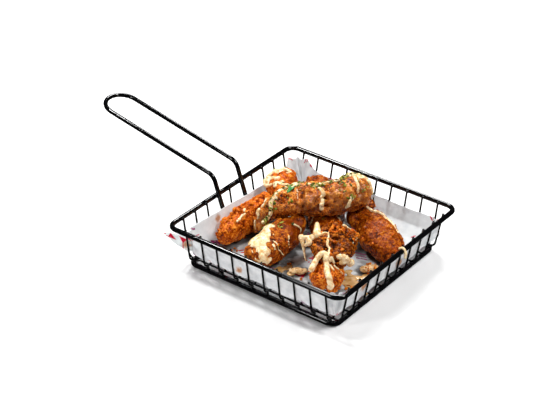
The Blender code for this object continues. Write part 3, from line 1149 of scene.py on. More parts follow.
class FriedCrust(Recipe):
    """Breading over a smooth core: lumps, flaky crags and crumbs. It keeps how far each spot stands out."""

    def __init__(self) -> None:
        """Builds the tree."""
        super().__init__("fried_crust", {
            "Lump Size": ("Float", 12 * MM), "Lump Height": ("Float", 1.6 * MM),
            "Crag Size": ("Float", 6 * MM), "Crag Height": ("Float", 1.6 * MM),
            "Plate Size": ("Float", 11 * MM),
            "Crumb Size": ("Float", 2.6 * MM), "Crumb Height": ("Float", 0.9 * MM),
            "Grit Size": ("Float", 2.4 * MM), "Grit Height": ("Float", 1.8 * MM),
            "Batch": ("Float", 0.0), "Finish": ("Material", None),
        })
        known = {socket.name: socket for socket in self.given}
        spot = self.shifted(self.add("GeometryNodeInputPosition"))
        curl = self.add(NOISE, (spot, 120.0, 1.0), "Color")
        warped = self.add(VECTOR, (curl, (7 * MM,) * 3, spot), operation="MULTIPLY_ADD")
        patterns = (("Lump", spot, 1.0), ("Crag", warped, 4.0), ("Plate", warped, 1.0), ("Grit", spot, 2.0))
        for name, where, detail in patterns:
            scale = self.add(MATH, (1.0, self.given[name + " Size"]), operation="DIVIDE")
            grain = self.add(NOISE, (where, scale, detail, 0.6))
            known[name.lower()] = self.add(MATH, (grain, 0.5), operation="SUBTRACT")
        inside = self.add(MATH, (known["plate"],), operation="ABSOLUTE")
        known["groove"] = self.add(RANGE, (inside, 0.0, 0.09, -1.0, 0.0), interpolation_type="SMOOTHSTEP")
        known["crumb"] = self.crumbs(warped)
        known["bare"] = self.add(NAMED, ("bare",), data_type="FLOAT")
        self.work_out(known, (
            ("crag rise", MATH, "MULTIPLY", "Crag Height", 3.2),
            ("craggy", MATH, "MULTIPLY", "crag", "crag rise"),
            ("gritty", MATH, "MULTIPLY", "grit", "Grit Height"),
            ("rough", MATH, "ADD", "craggy", "gritty"),
            ("groove depth", MATH, "MULTIPLY", "Crag Height", 0.45),
            ("grooved", MATH, "MULTIPLY", "groove", "groove depth"),
            ("crumby", MATH, "MULTIPLY", "crumb", "Crumb Height"),
            ("knobbly", MATH, "ADD", "grooved", "crumby"),
            ("fine", MATH, "ADD", "rough", "knobbly"),
            ("smoothness", MATH, "MULTIPLY", "bare", 0.42),
            ("cover", MATH, "SUBTRACT", 1.0, "smoothness"),
            ("covering", MATH, "MULTIPLY", "fine", "cover"),
            ("lump rise", MATH, "MULTIPLY", "Lump Height", 3.0),
            ("height", MATH, "MULTIPLY_ADD", "lump", "lump rise", "covering"),
        ))
        blurred = {"Value": known["height"], "Iterations": 30}
        known["around"] = self.add("GeometryNodeBlurAttribute", blurred, data_type="FLOAT")
        self.work_out(known, (
            ("proud", MATH, "SUBTRACT", "height", "around"),
            ("whole", MATH, "ADD", "Crag Height", 1 * MM),
            ("share", MATH, "DIVIDE", "proud", "whole"),
            ("level", MATH, "ADD", 0.52, "share"),
        ))
        # How far each spot stands out, which the crust's colour turns into painted shade in the hollows and
        # a painted highlight on the crags.
        kept = self.add("GeometryNodeStoreNamedAttribute", {
            "Geometry": self.given["Geometry"], "Name": "ridge", "Value": known["level"],
        }, data_type="FLOAT", domain="POINT")
        self.close(self.shift_along_normal(kept, known["height"]))

    def shifted(self, where: Socket) -> Socket:
        """Shifts the patterns, so that no two tenders are alike.

        Args:
            where: the surface's own places.

        Returns:
            The places where the patterns are read.
        """
        apart = self.add(MATH, (self.given["Batch"], 0.37), operation="MULTIPLY")
        farther = self.add(MATH, (apart, 1.7), operation="MULTIPLY")
        shift = self.add("ShaderNodeCombineXYZ", (apart, farther, apart))
        return self.add(VECTOR, (where, shift), operation="ADD")

    def crumbs(self, where: Socket) -> Socket:
        """Makes single crumbs stuck to the breading: some cells of a pattern have one.

        Args:
            where: the places where the pattern is read.

        Returns:
            How far each spot is up a crumb, from 0 to 1.
        """
        scale = self.add(MATH, (1.0, self.given["Crumb Size"]), operation="DIVIDE")
        cell = self.add(CELLS, {"Vector": where, "Scale": scale}, feature="F1")
        dome = self.add(RANGE, (cell, 0.5, 0.1, 0.0, 1.0), interpolation_type="SMOOTHSTEP")
        luck = self.add(AXES, (cell.node.outputs["Color"],))
        picked = self.add(MATH, (luck, 0.6), operation="GREATER_THAN")
        return self.add(MATH, (dome, picked), operation="MULTIPLY")


@dataclass(frozen=True)
class Bulge:
    """A swelling or, where the push is negative, a dent in a tender, in millimetres."""

    at: Spot
    radius: float
    push: float


@dataclass(frozen=True)
class Tender:
    """One piece of breaded chicken."""

    node: str
    finish: CrustFinish
    batch: float
    lump: float = 1.6
    crag: float = 1.6
    crumb: float = 0.6
    crag_size: float = 4.0
    rounds: int = 16
    bulges: tuple[Bulge, ...] = ()
    bare: tuple[tuple[float, float, float, float], ...] = ()

    def core(self, voxel: float) -> bpy.types.Object:
        """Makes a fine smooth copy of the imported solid.

        Args:
            voxel: how large its faces are.

        Returns:
            The copy.
        """
        obj = link(self.node + "_core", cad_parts[self.node].data.copy())
        obj.data.materials.clear()
        weld = obj.modifiers.new("weld", "WELD")
        weld.merge_threshold = 0.01 * MM
        remesh = obj.modifiers.new("remesh", "REMESH")
        remesh.mode = "VOXEL"
        remesh.voxel_size = voxel
        smooth = obj.modifiers.new("smooth", "SMOOTH")
        smooth.iterations = self.rounds
        smooth.factor = 0.5
        return baked(obj, self.node + "_core")

    def swell(self, core: bpy.types.Object) -> None:
        """Pushes the bulges out of the core and the dents into it, and marks where the breading is thin.

        Args:
            core: the smooth core.
        """
        points = rows_of(core.data.vertices, "co")
        normals = rows_of(core.data.vertex_normals, "vector")
        for bulge in self.bulges:
            far = distances(points, *bulge.at, bulge.radius)
            weight = np.clip(1 - far, 0, 1) ** 2 * (1 + 2 * np.clip(far, 0, 1))
            points += normals * (weight * bulge.push * MM)[:, None]
        # Over the outer half of each thin spot the breading comes back.
        store(core, "bare", "FLOAT", np.clip(2.2 * nearness(points, self.bare), 0, 1))
        core.data.vertices.foreach_set("co", points.astype(np.float32).ravel())
        core.data.update()

    def build(self, crust: FriedCrust, voxel: float) -> bpy.types.Object:
        """Makes the piece.

        Args:
            crust: the breading.
            voxel: how large its faces are.

        Returns:
            The piece.
        """
        core = self.core(voxel)
        self.swell(core)
        piece = crust.run(
            core, "fried_" + self.node, lump_height=self.lump * MM, crag_height=self.crag * MM,
            crumb_height=self.crumb * MM, crag_size=self.crag_size * MM, batch=self.batch,
            finish=self.finish.make(),
        )
        return dress(piece, [self.node])


ORANGE = dict(crack_shade="521800", shade="943600", body="C25804", ridge="EC9030", glaze="AE4A02")
GOLDEN = dict(crack_shade="3A1200", shade="6C2600", body="923C00", ridge="C06E1C", glaze="7A2E00")
BEIGE = dict(crack_shade="9C6C3C", shade="C08E58", body="D8B07C", ridge="F0D4A8", glaze="CC9A62")
TAN = dict(crack_shade="321000", shade="8A3A00", body="C66208", ridge="F4A444", glaze="985A2E")
RED = dict(crack_shade="260A00", shade="602200", body="984000", ridge="D07A20", glaze="7A2E00")
DARK = dict(crack_shade="140400", shade="461800", body="783200", ridge="BE6C1C", glaze="561F00")

TENDERS = (
    Tender("tender_1", CrustFinish("crust_1", **ORANGE), 1.0, lump=1.4, crag=0.4, crumb=0.5, bulges=(
        Bulge((-78, -43, 37), 8, 5.0), Bulge((-71, -50, 40), 5, -4.0), Bulge((-70, -14, 42), 8, 4.5),
        Bulge((-66, -28, 42), 6, -4.5), Bulge((-62, -12, 40), 6, 3.0), Bulge((-60, -46, 35), 9, 1.5),
        Bulge((-74, -28, 40), 6, 4.0), Bulge((-67, -4, 42), 5, -3.5), Bulge((-68, -66, 20), 12, -2.5),
        Bulge((-60, -62, 20), 9, -1.5), Bulge((-66, 8, 42), 8, 3.5),
    )),
    Tender("tender_2", CrustFinish("crust_2", **ORANGE), 2.0, lump=1.6, crag=0.45, crumb=0.4, bulges=(
        Bulge((-60, 22, 54), 6, -2.5), Bulge((-54, 34, 54), 7, 2.0),
    )),
    Tender("tender_3", CrustFinish("crust_3", **TAN, shine=0.3), 3.0, lump=2.0, crag=0.6, bulges=(
        Bulge((0, 17, 70), 6, -5.5), Bulge((3, 13, 62), 6, -6.5), Bulge((6, 11, 54), 7, -6.0),
        Bulge((-10, -3, 56), 4, -4.0), Bulge((-14, -1, 64), 4, -4.5), Bulge((12, 40, 74), 8, 2.5),
        Bulge((-7, 1, 58), 11, 4.0), Bulge((-15, 7, 68), 7, 3.5), Bulge((-17, -6, 56), 5, -4.5),
        Bulge((24, 36, 66), 6, -3.0), Bulge((-34, -6, 60), 9, 3.5), Bulge((-38, -17, 45), 5, -3.0),
        Bulge((20, 28, 60), 13, 2.0), Bulge((6, 54, 71), 8, 3.0), Bulge((-27, -6, 60), 4, -3.5),
        Bulge((12, 30, 69), 6, -2.5), Bulge((-26, -12, 50), 8, 3.0), Bulge((-42, -18, 50), 6, 3.0),
        Bulge((-20, 0, 66), 4, -2.5),
    ), bare=((-7, 1, 56, 15), (16, 24, 58, 20), (26, 44, 62, 16), (-50, -20, 34, 9))),
    Tender(
        "tender_4", CrustFinish("crust_4", **GOLDEN), 4.0, lump=1.2, crag=0.5, crumb=0.3,
        bare=((0, 28, 32, 22),),
    ),
    Tender("tender_5", CrustFinish("crust_5", **RED, oily=0.4, dull=0.65), 5.0, 1.6, 0.5, 0.4, bulges=(
        Bulge((-32, -66, 30), 10, 3.0), Bulge((-30, -20, 42), 8, 2.0), Bulge((-13, -3, 38), 13, 5.0),
    ), bare=((-10, -18, 34, 18),)),
    Tender("tender_6", CrustFinish("crust_6", **DARK), 6.0, 2.6, 0.9, crumb=0.9, crag_size=5.0, bulges=(
        Bulge((34, -14, 52), 9, 4.0), Bulge((29, -23, 51), 5, -5.0), Bulge((58, -39, 43), 10, 3.0),
        Bulge((46, -28, 52), 6, -4.5), Bulge((50, -8, 46), 10, 4.0), Bulge((20, -33, 44), 11, 5.0),
        Bulge((44, -42, 48), 5, -3.5), Bulge((54, -24, 48), 5, 3.0),
    ), bare=((55, -31, 50, 9),)),
    Tender("tender_7", CrustFinish("crust_7", **GOLDEN), 7.0, lump=1.0, crag=0.3, crumb=0.3, bulges=(
        Bulge((17, 44, 33), 17, 7.0), Bulge((32, 38, 38), 8, 2.0), Bulge((40, 56, 40), 9, 2.0),
        Bulge((44, 40, 42), 6, -2.0), Bulge((74, 22, 34), 9, 1.5),
    )),
    Tender("tender_8", CrustFinish("crust_8", **ORANGE), 8.0, lump=1.6, crag=0.5, crumb=0.7),
    Tender("crust_knob", CrustFinish("crust_9", **RED), 9.0, lump=0.6, crag=0.7, rounds=4),
    Tender("crust_flake_1", CrustFinish("crust_10", **BEIGE), 10.0, lump=0.3, crag=0.35, rounds=3),
    Tender("crust_flake_2", CrustFinish("crust_11", **BEIGE), 11.0, lump=0.4, crag=0.5, rounds=3),
)


@dataclass
class Heap:
    """All the tenders and the larger bits of crust."""

    voxel: float = 0.65 * MM

    def build(self) -> list[bpy.types.Object]:
        """Makes every piece of the heap."""
        crust = FriedCrust()
        return [tender.build(crust, self.voxel) for tender in TENDERS]


# ---------------------------------------------------------------------------------------------
# Sauce, herbs and crumbs
# ---------------------------------------------------------------------------------------------


class PouredSauce(Recipe):
    """Drops that run together into one skin."""

    def __init__(self) -> None:
        """Builds the tree."""
        super().__init__("poured_sauce", {
            "Grid": ("Float", 0.46 * MM), "Smoothing": ("Int", 3), "Finish": ("Material", None),
        })
        radius = self.add(NAMED, ("radius",), data_type="FLOAT")
        drops = self.add("GeometryNodeMeshToPoints", {"Mesh": self.given["Geometry"], "Radius": radius})
        body = self.add("GeometryNodePointsToVolume", {
            "Points": drops, "Voxel Size": self.given["Grid"], "Radius": radius, "Density": 1.0,
        }, resolution_mode="VOXEL_SIZE")
        skin = self.add("GeometryNodeVolumeToMesh", {"Volume": body, "Threshold": 0.3})
        blurred = {"Value": self.add("GeometryNodeInputPosition"), "Iterations": self.given["Smoothing"]}
        even = self.add("GeometryNodeBlurAttribute", blurred, data_type="FLOAT_VECTOR")
        self.close(self.add("GeometryNodeSetPosition", {"Geometry": skin, "Position": even}))


@dataclass(frozen=True)
class Run:
    """A thread of sauce: its places, its half thickness at both ends, and whether it lies on the food."""

    path: tuple[Spot, ...]
    start: float
    end: float
    clings: bool = True


@dataclass(frozen=True)
class Coat:
    """A patch of sauce over the crust: a ball of space, its depth and how much of it is covered."""

    at: Spot
    reach: float
    depth: float
    cover: float = 0.7


@dataclass
class Drizzle:
    """The sauce poured over the heap."""

    step: float = 0.45
    unevenness: float = 0.28
    broad_waver: float = 260
    fine_waver: float = 700
    sunk: float = 0.25
    coat_waver: float = 170
    coat_patchiness: float = 0.9
    coat_sunk: float = 0.2
    thinnest: float = 0.45
    thickening: float = 1.2
    thickest: float = 1.15
    underside: float = -0.15
    runs: tuple[Run, ...] = (
        Run(((-75, 18, 45), (-77, 25, 47), (-76, 34, 52), (-72, 41, 54), (-66, 46, 54),
             (-60, 46, 53)), 2.2, 1.8),
        Run(((-75, 18, 45), (-68, 17, 48), (-60, 19, 53), (-53, 19, 54), (-48, 26, 53),
             (-42, 24, 53)), 1.8, 1.3),
        Run(((-64, 24, 55), (-62, 27, 55)), 2.2, 2.0),
        Run(((-47, 20, 53), (-42, 4, 62), (-39, -4, 62), (-40, -10, 57), (-41, -14, 54),
             (-39, -17, 49)), 2.0, 2.3),
        Run(((-39, -17, 49), (-38, -19, 44), (-40, -21, 39), (-41, -26, 37),
             (-38, -31, 40)), 2.1, 1.9, False),
        Run(((-50, -8, 50), (-51, -12, 48), (-52, -15, 45)), 1.2, 1.6),
        Run(((-52, -18, 42), (-51, -21, 37), (-52, -22, 34)), 1.8, 1.1),
        Run(((-54, -22, 31), (-53, -24, 27), (-52, -25, 22)), 1.5, 0.9),
        Run(((-67, -22, 41), (-64, -28, 41), (-62, -35, 40), (-61, -41, 38)), 1.2, 1.5),
        Run(((-12, -48, 38), (-9, -48, 36), (-5, -49, 31), (-2, -44, 22)), 0.9, 0.8),
        Run(((-6, -32, 38), (-3, -34, 34), (0, -35, 28)), 1.2, 0.9),
        Run(((-11, 12, 70), (-6, 20, 72), (-1, 27, 72), (4, 34, 73), (7, 44, 74)), 1.3, 1.2),
        Run(((-5, 14, 70), (0, 14, 68), (2, 12, 63), (4, 8, 57), (5, 7, 53)), 1.8, 2.2),
        Run(((20, 30, 63), (21, 28, 58), (20, 25, 52)), 1.5, 2.0),
        Run(((9, 50, 74), (15, 46, 73), (20, 42, 70), (25, 37, 65)), 2.0, 1.6),
        Run(((2, 53, 72), (8, 56, 73), (18, 54, 72), (24, 54, 69), (29, 53, 64), (30, 49, 59)), 2.6, 1.6),
        Run(((-22, 2, 68), (-19, -1, 65), (-17, -4, 61)), 1.0, 0.7),
        Run(((11, -10, 47), (15, -16, 49), (20, -23, 51), (26, -32, 51)), 2.3, 3.6, False),
        Run(((26, -32, 50), (21, -34, 48), (15, -36, 46), (11, -36, 44)), 3.0, 2.1, False),
        Run(((11, -36, 45), (14, -38, 42), (17, -40, 37), (19, -41, 31), (20, -40, 24)), 2.6, 0.8, False),
        Run(((19, -36, 47), (23, -39, 45), (19, -40, 41)), 2.6, 1.8, False),
        Run(((16, -36, 46), (19, -37, 44), (19, -38, 41)), 1.8, 1.6, False),
        Run(((29, -31, 52), (31, -26, 54), (33, -23, 55)), 1.8, 0.9),
        Run(((33, -24, 54), (38, -30, 53), (42, -37, 50), (50, -45, 47), (54, -47, 43)), 1.1, 1.6),
        Run(((54, -47, 43), (57, -47, 38), (61, -46, 34), (65, -44, 29)), 1.5, 0.9),
        Run(((36, -2, 50), (41, 3, 47), (45, 5, 44)), 1.4, 1.0),
        Run(((48, -3, 46), (53, -8, 46), (56, -15, 45)), 0.9, 0.8),
        Run(((43, -64, 36), (42, -58, 39), (42, -52, 43), (44, -48, 46), (47, -47, 46)), 2.8, 2.6, False),
        Run(((47, -47, 46), (51, -51, 40), (55, -56, 38), (59, -60, 36), (63, -63, 32),
             (66, -64, 25)), 2.6, 3.2),
        Run(((58, -41, 44), (62, -37, 41), (65, -32, 36), (68, -28, 29)), 2.8, 3.4),
        Run(((52, -48, 42), (57, -51, 38), (60, -52, 35)), 1.8, 1.0),
        Run(((25, 54, 41), (36, 52, 41), (46, 54, 38)), 2.0, 1.7),
        Run(((46, 54, 38), (60, 46, 38), (72, 38, 34)), 1.5, 1.0),
        Run(((97, 2, 47.2), (100, 3, 48.4), (103, 3, 46), (103.8, 2.5, 42),
             (103.6, 2.5, 39)), 1.3, 1.7, False),
        Run(((-14, -16, 40), (-7, -12, 36), (-3, -12, 29)), 1.2, 0.8),
        Run(((-10, 14, 36), (-9, 10, 32), (-9, 8, 27)), 1.3, 1.0),
        Run(((12, 28, 38), (14, 25, 34)), 1.0, 0.7),
    )
    coats: tuple[Coat, ...] = (
        Coat((-76, 26, 49), 10, 1.1, 0.65), Coat((-70, 41, 54), 10, 1.0, 0.65),
        Coat((-58, 20, 53), 7, 1.1, 0.6), Coat((-27, -46, 39), 11, 1.5, 0.95),
        Coat((-24, -56, 38), 11, 1.6, 0.95), Coat((-16, -62, 35), 10, 1.5, 0.9),
        Coat((-11, -65, 29), 9, 1.4, 0.8), Coat((-35, -42, 36), 8, 1.3, 0.8),
        Coat((-30, -36, 40), 8, 1.4, 0.9), Coat((-30, 8, 68), 9, 1.0, 0.6),
        Coat((-40, -4, 61), 9, 1.0, 0.6), Coat((6, 54, 73), 11, 1.7, 0.95), Coat((16, 54, 71), 9, 1.3, 0.7),
        Coat((27, 52, 64), 9, 1.0, 0.5), Coat((-4, 24, 72), 8, 1.0, 0.4), Coat((-14, 12, 70), 7, 0.9, 0.5),
        Coat((-8, -52, 34), 7, 1.0, 0.4), Coat((24, -32, 49), 7, 1.3, 0.8),
        Coat((62, -38, 41), 6, 1.5, 0.7), Coat((-53, -19, 42), 5, 1.0, 0.6),
        Coat((8, 24, 38), 7, 0.8, 0.35),
    )

    def run_drops(self, run: Run, food: Surface) -> tuple[list[Vector], list[float]]:
        """Turns one thread to drops close together on a smooth curve through its places.

        Args:
            run: the thread.
            food: what it lies on.

        Returns:
            The drops' places and radii.
        """
        marks = [place(*mark) for mark in run.path]
        marks = [2 * marks[0] - marks[1], *marks, 2 * marks[-1] - marks[-2]]
        places, radii = [], []
        spans = len(marks) - 3
        for i in range(spans):
            a, b, c, d = marks[i:i + 4]
            count = max(2, round((c - b).length / (self.step * MM)))
            for k in range(count):
                t = k / count
                slope, bend, twist = c - a, 2 * a - 5 * b + 4 * c - d, 3 * b - a - 3 * c + d
                spot = 0.5 * (2 * b + slope * t + bend * t ** 2 + twist * t ** 3)
                along = (i + t) / spans
                waver = noise.noise(spot * self.broad_waver) + 0.5 * noise.noise(spot * self.fine_waver)
                radius = (run.start + (run.end - run.start) * along) * (1 + self.unevenness * waver) * MM
                if run.clings:
                    surface, facing = food.nearest(spot)
                    spot = surface + facing * radius * self.sunk
                places.append(spot)
                radii.append(radius)
        return places, radii

    def coat_drops(self, coat: Coat, food: Surface) -> tuple[np.ndarray, np.ndarray]:
        """Turns one patch to drops on the crust.

        Args:
            coat: the patch.
            food: the crust.

        Returns:
            The drops' places and radii, row by row.
        """
        far = distances(food.points, *coat.at, coat.reach)
        near = np.flatnonzero((far < 1) & (food.normals[:, 2] > self.underside))
        waves = np.array([noise.noise(Vector(food.points[i]) * self.coat_waver) for i in near])
        wet = waves * self.coat_patchiness + (1 - far[near]) - (1 - coat.cover)
        near, wet = near[wet > 0], wet[wet > 0]
        radii = coat.depth * MM * np.clip(self.thinnest + wet * self.thickening, 0, self.thickest)
        return food.points[near] + food.normals[near] * radii[:, None] * self.coat_sunk, radii

    def build(self, food: Surface) -> bpy.types.Object:
        """Makes the sauce.

        Args:
            food: the crust that it lies on.

        Returns:
            The piece.
        """
        groups = [self.run_drops(run, food) for run in self.runs]
        groups += [self.coat_drops(coat, food) for coat in self.coats]
        drops = mesh_object("drops", np.vstack([np.array(places) for places, _ in groups]))
        store(drops, "radius", "FLOAT", np.concatenate([np.array(radii) for _, radii in groups]))
        sauce = PouredSauce().run(drops, "drizzled_sauce", finish=SpicedMayonnaise().material)
        return dress(sauce)


@dataclass
class Spill:
    """The thin sauce that ran down to the paper. Each puddle is a place, a reach and a depth."""

    floor: float = 10.7
    step: float = 0.6
    raggedness: float = 0.5
    waver: float = 0.22
    thin_edge: float = 0.12
    edge_depth: float = 0.5
    puddles: tuple[tuple[float, float, float, float], ...] = (
        (60, -22, 9, 1.0), (66, -30, 9, 1.1), (74, -22, 8, 0.9), (70, -12, 6, 0.8), (80, -34, 7, 0.9),
        (76, -45, 7, 0.8), (52, -14, 5, 0.8), (2, -44, 6, 0.8), (-2, -52, 6, 0.9), (10, -50, 5, 0.7),
    )

    def build(self) -> bpy.types.Object:
        """Makes the puddles.

        Returns:
            The piece.
        """
        places, radii = [], []
        for x, y, reach, depth in self.puddles:
            steps = round(reach / self.step)
            line = [i * self.step for i in range(-steps, steps + 1)]
            for across, along in ((a, b) for a in line for b in line):
                spot = Vector((x + across, y + along, self.floor))
                ragged = self.raggedness * noise.noise(spot * self.waver)
                inside = 1 - math.hypot(across, along) / reach + ragged
                if inside > self.thin_edge:
                    places.append(place(*spot))
                    radii.append(depth * min(1.0, self.edge_depth + inside) * MM)
        drops = mesh_object("puddles", places)
        store(drops, "radius", "FLOAT", np.array(radii))
        return dress(PouredSauce().run(drops, "spilled_sauce", finish=OilySauce().material))


class ScatteredBits(Recipe):
    """Small irregular bits, one at every point, turned and sized by the point's attributes."""

    def __init__(self) -> None:
        """Builds the tree."""
        super().__init__("scattered_bits", {"Roughness": ("Float", 0.5), "Finish": ("Material", None)})
        shapes = self.add("GeometryNodeGeometryToInstance")
        strength = self.add(MATH, (self.given["Roughness"], 2.0), operation="MULTIPLY")
        here = self.add("GeometryNodeInputPosition")
        for variant in range(5):
            ball = self.add("GeometryNodeMeshIcoSphere", {"Radius": 0.5, "Subdivisions": 2})
            pattern = {"Vector": here, "W": 7.3 * variant, "Scale": 2.2, "Detail": 1.0}
            dents = self.add(NOISE, pattern, "Color", noise_dimensions="4D")
            centred = self.add(VECTOR, (dents, (0.5, 0.5, 0.5)), operation="SUBTRACT")
            push = self.add(VECTOR, (centred, strength), operation="SCALE")
            bit = self.add("GeometryNodeSetPosition", {"Geometry": ball, "Offset": push})
            self.tree.links.new(bit, shapes.node.inputs[0])
        pick = self.add("FunctionNodeRandomValue", {"Min": 0, "Max": 4, "Seed": 11}, data_type="INT")
        stored = self.add(NAMED, ("turn",), data_type="FLOAT_VECTOR")
        turn = self.add("FunctionNodeEulerToRotation", (stored,))
        size = self.add(NAMED, ("size",), data_type="FLOAT_VECTOR")
        self.close(self.add("GeometryNodeInstanceOnPoints", {
            "Points": self.given["Geometry"], "Instance": shapes, "Pick Instance": True,
            "Instance Index": pick, "Rotation": turn, "Scale": size,
        }))


@dataclass(frozen=True)
class Patch:
    """Where bits are strewn: a ball of space and how many there are in it."""

    at: Spot
    reach: float
    count: int


@dataclass
class Strewing:
    """Bits of one kind strewn over a surface."""

    name: str
    patches: tuple[Patch, ...]
    smallest: float
    largest: float
    flatness: float
    roughness: float
    lift: float
    tilt: float
    seed: int
    narrowest: float = 0.55

    def build(self, ground: Surface, finish: bpy.types.Material) -> bpy.types.Object:
        """Strews the bits.

        Args:
            ground: what they lie on.
            finish: their material.

        Returns:
            The piece.
        """
        rng = np.random.default_rng(self.seed)
        spots, turns, sizes, tints = [], [], [], []
        for patch in self.patches:
            far = distances(ground.points, *patch.at, patch.reach)
            near = np.flatnonzero((far < 1) & (ground.normals[:, 2] > 0.0))
            for i in rng.choice(near, min(patch.count, len(near)), replace=False):
                facing = Vector(ground.normals[i])
                size = self.smallest + (self.largest - self.smallest) * rng.random() ** 2
                lean = Quaternion((rng.normal(), rng.normal(), 0.01), self.tilt * rng.random())
                turn = facing.to_track_quat("Z", "Y") @ lean @ Quaternion((0, 0, 1), rng.random() * 6.3)
                spots.append(Vector(ground.points[i]) + facing * self.lift * size * MM)
                turns.append(turn.to_euler())
                width = size * (self.narrowest + 0.4 * rng.random())
                sizes.append((size * MM, width * MM, size * self.flatness * MM))
                tints.append(rng.random())
        points = mesh_object(self.name + "_points", spots)
        store(points, "turn", "FLOAT_VECTOR", np.array(turns))
        store(points, "size", "FLOAT_VECTOR", np.array(sizes))
        store(points, "tint", "FLOAT", np.array(tints))
        store(points, "ridge", "FLOAT", 0.45 + 0.4 * np.array(tints))
        piece = ScatteredBits().run(points, self.name, roughness=self.roughness, finish=finish)
        return dress(piece)


HERBS = Strewing("chopped_herbs", (
    Patch((-52, 16, 53), 8, 10), Patch((-46, 20, 55), 8, 12), Patch((-38, 2, 64), 8, 26),
    Patch((-41, -8, 58), 7, 26), Patch((-40, -15, 50), 6, 14), Patch((-41, -22, 38), 7, 14),
    Patch((-30, 8, 68), 8, 20), Patch((-18, 10, 70), 8, 18), Patch((-8, 15, 71), 7, 26),
    Patch((-2, 26, 72), 8, 26), Patch((4, 36, 73), 8, 30), Patch((6, 48, 74), 8, 28),
    Patch((12, 54, 73), 8, 12), Patch((24, 46, 68), 7, 12), Patch((30, 50, 60), 7, 8),
    Patch((12, 32, 69), 8, 14), Patch((-38, -30, 38), 8, 28), Patch((-24, -26, 40), 6, 6),
    Patch((-70, 42, 54), 9, 6), Patch((-24, -6, 60), 6, 5), Patch((21, 30, 64), 5, 12),
    Patch((-14, -16, 38), 5, 3), Patch((-1, 17, 34), 5, 5),
), 1.5, 3.8, 0.14, 0.75, 0.12, 0.8, 21)

CRUMBS = Strewing("loose_crumbs", (
    Patch((-66, -40, 38), 24, 45), Patch((-66, -8, 38), 20, 30), Patch((-62, 30, 52), 18, 14),
    Patch((36, -15, 54), 8, 46), Patch((46, -30, 46), 22, 40), Patch((52, -54, 32), 18, 45),
    Patch((62, 28, 36), 32, 20), Patch((-34, -4, 56), 16, 20), Patch((-18, -40, 36), 18, 10),
    Patch((72, -2, 18), 10, 10), Patch((-46, 66, 38), 14, 6), Patch((52, -6, 48), 8, 14),
), 1.4, 4.4, 0.6, 0.9, 0.1, 0.6, 22)

FLOOR_CRUMBS = Strewing("fallen_crumbs", (
    Patch((-58, -50, 10), 5, 4), Patch((-30, -76, 10), 12, 5), Patch((10, -46, 10), 16, 8),
    Patch((78, -14, 10), 14, 10), Patch((70, -36, 10), 16, 10), Patch((30, 30, 10), 60, 12),
    Patch((-72, -30, 10), 20, 4),
), 1.5, 4.0, 0.6, 0.9, 0.3, 0.4, 23)

LEAF = Strewing("parsley_leaf", (
    Patch((-27, 0, 67), 2.5, 1), Patch((-30, -1, 66), 2.0, 1),
), 9.0, 10.0, 0.07, 0.5, 0.16, 0.1, 30)


# ---------------------------------------------------------------------------------------------
# The studio
# ---------------------------------------------------------------------------------------------


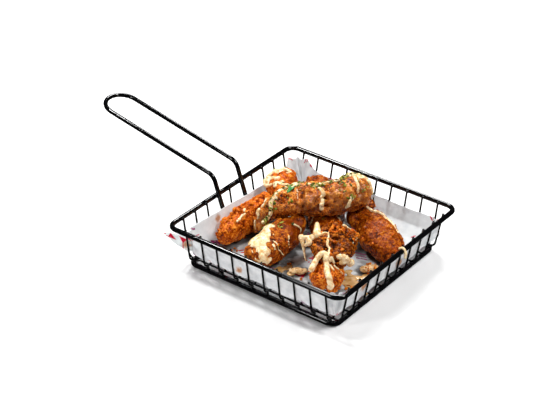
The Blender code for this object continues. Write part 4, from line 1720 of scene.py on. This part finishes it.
@dataclass
class Studio:
    """A white floor, soft light from above and the camera.

    Each lamp is a name, a place, a size and a power.
    """

    floor_half: float = 6.0
    lamps: tuple[tuple[str, Spot, float, float], ...] = (
        ("back", (-420, 620, 900), 0.25, 9.0), ("key", (560, 200, 950), 0.25, 8.8),
        ("front", (-380, -1000, 620), 0.2, 3.7), ("strip", (-560, -120, 950), 0.14, 7.4),
    )
    lit: Spot = (0, 0, 30)
    seen_sky: float = 0.9
    sky: float = 0.05
    azimuth: float = math.radians(35.785)
    elevation: float = math.radians(31.589)
    roll: float = math.radians(1.298)
    distance: float = 1652.7 * MM
    lens: float = 104.63
    target: Spot = (-67.8, 37.8, 9.5)

    def add_floor(self) -> None:
        """Lays the floor, which the glossy wire doesn't mirror."""
        far = self.floor_half
        corners = ((-far, -far, 0), (far, -far, 0), (far, far, 0), (-far, far, 0))
        floor = mesh_object("floor", corners, [(0, 1, 2, 3)])
        floor.data.materials.append(WhiteBoard().material)
        floor.visible_glossy = False

    def add_light(self) -> None:
        """Hangs the lamps, and makes the sky a dim one that looks white."""
        for name, where, size, power in self.lamps:
            data = bpy.data.lights.new(name, "AREA")
            data.shape = "SQUARE"
            data.size = size
            data.energy = power
            lamp = link(name, data)
            lamp.location = place(*where)
            lamp.rotation_euler = (place(*self.lit) - place(*where)).to_track_quat("-Z", "Y").to_euler()
        world = bpy.data.worlds.new("studio")
        world.use_nodes = True
        background = world.node_tree.nodes["Background"]
        background.inputs["Color"].default_value = (1, 1, 1, 1)
        wiring = Wiring(world.node_tree)
        seen = wiring.add("ShaderNodeLightPath", (), "Is Camera Ray")
        strength = wiring.add(MATH, (seen, self.seen_sky, self.sky), operation="MULTIPLY_ADD")
        wiring.tree.links.new(strength, background.inputs["Strength"])
        bpy.context.scene.world = world

    def add_camera(self) -> None:
        """Sets up the camera."""
        level = math.cos(self.elevation)
        back = Vector((
            math.sin(self.azimuth) * level, -math.cos(self.azimuth) * level, math.sin(self.elevation),
        ))
        lens = bpy.data.cameras.new("camera")
        lens.lens = self.lens
        lens.sensor_width = 36
        lens.clip_end = 20
        camera = link("camera", lens)
        camera.location = place(*self.target) + back * self.distance
        turn = (-back).to_track_quat("-Z", "Y") @ Quaternion((0, 0, 1), self.roll)
        camera.rotation_euler = turn.to_euler()
        bpy.context.scene.camera = camera

    def build(self) -> None:
        """Makes the floor, the light and the camera."""
        bpy.context.scene.view_settings.view_transform = "Standard"
        self.add_floor()
        self.add_light()
        self.add_camera()


def main() -> None:
    """Builds the basket, its food and the studio."""
    logging.basicConfig(level=logging.INFO, format="%(name)s: %(message)s")
    Studio().build()
    WireBasket().build()
    tenders = Heap().build()
    crust = Surface(tenders)
    paper = PaperLiner().build(crust)
    sauce = Drizzle().build(crust)
    Spill().build()
    topping = Surface([*tenders, sauce])
    HERBS.build(topping, ChoppedParsley().material)
    LEAF.build(topping, ParsleyLeaf().material)
    bits = CrustFinish("crumb_crust", **ORANGE).make()
    CRUMBS.build(crust, bits)
    FLOOR_CRUMBS.build(Surface([paper]), bits)


if __name__ == "__main__":
    main()
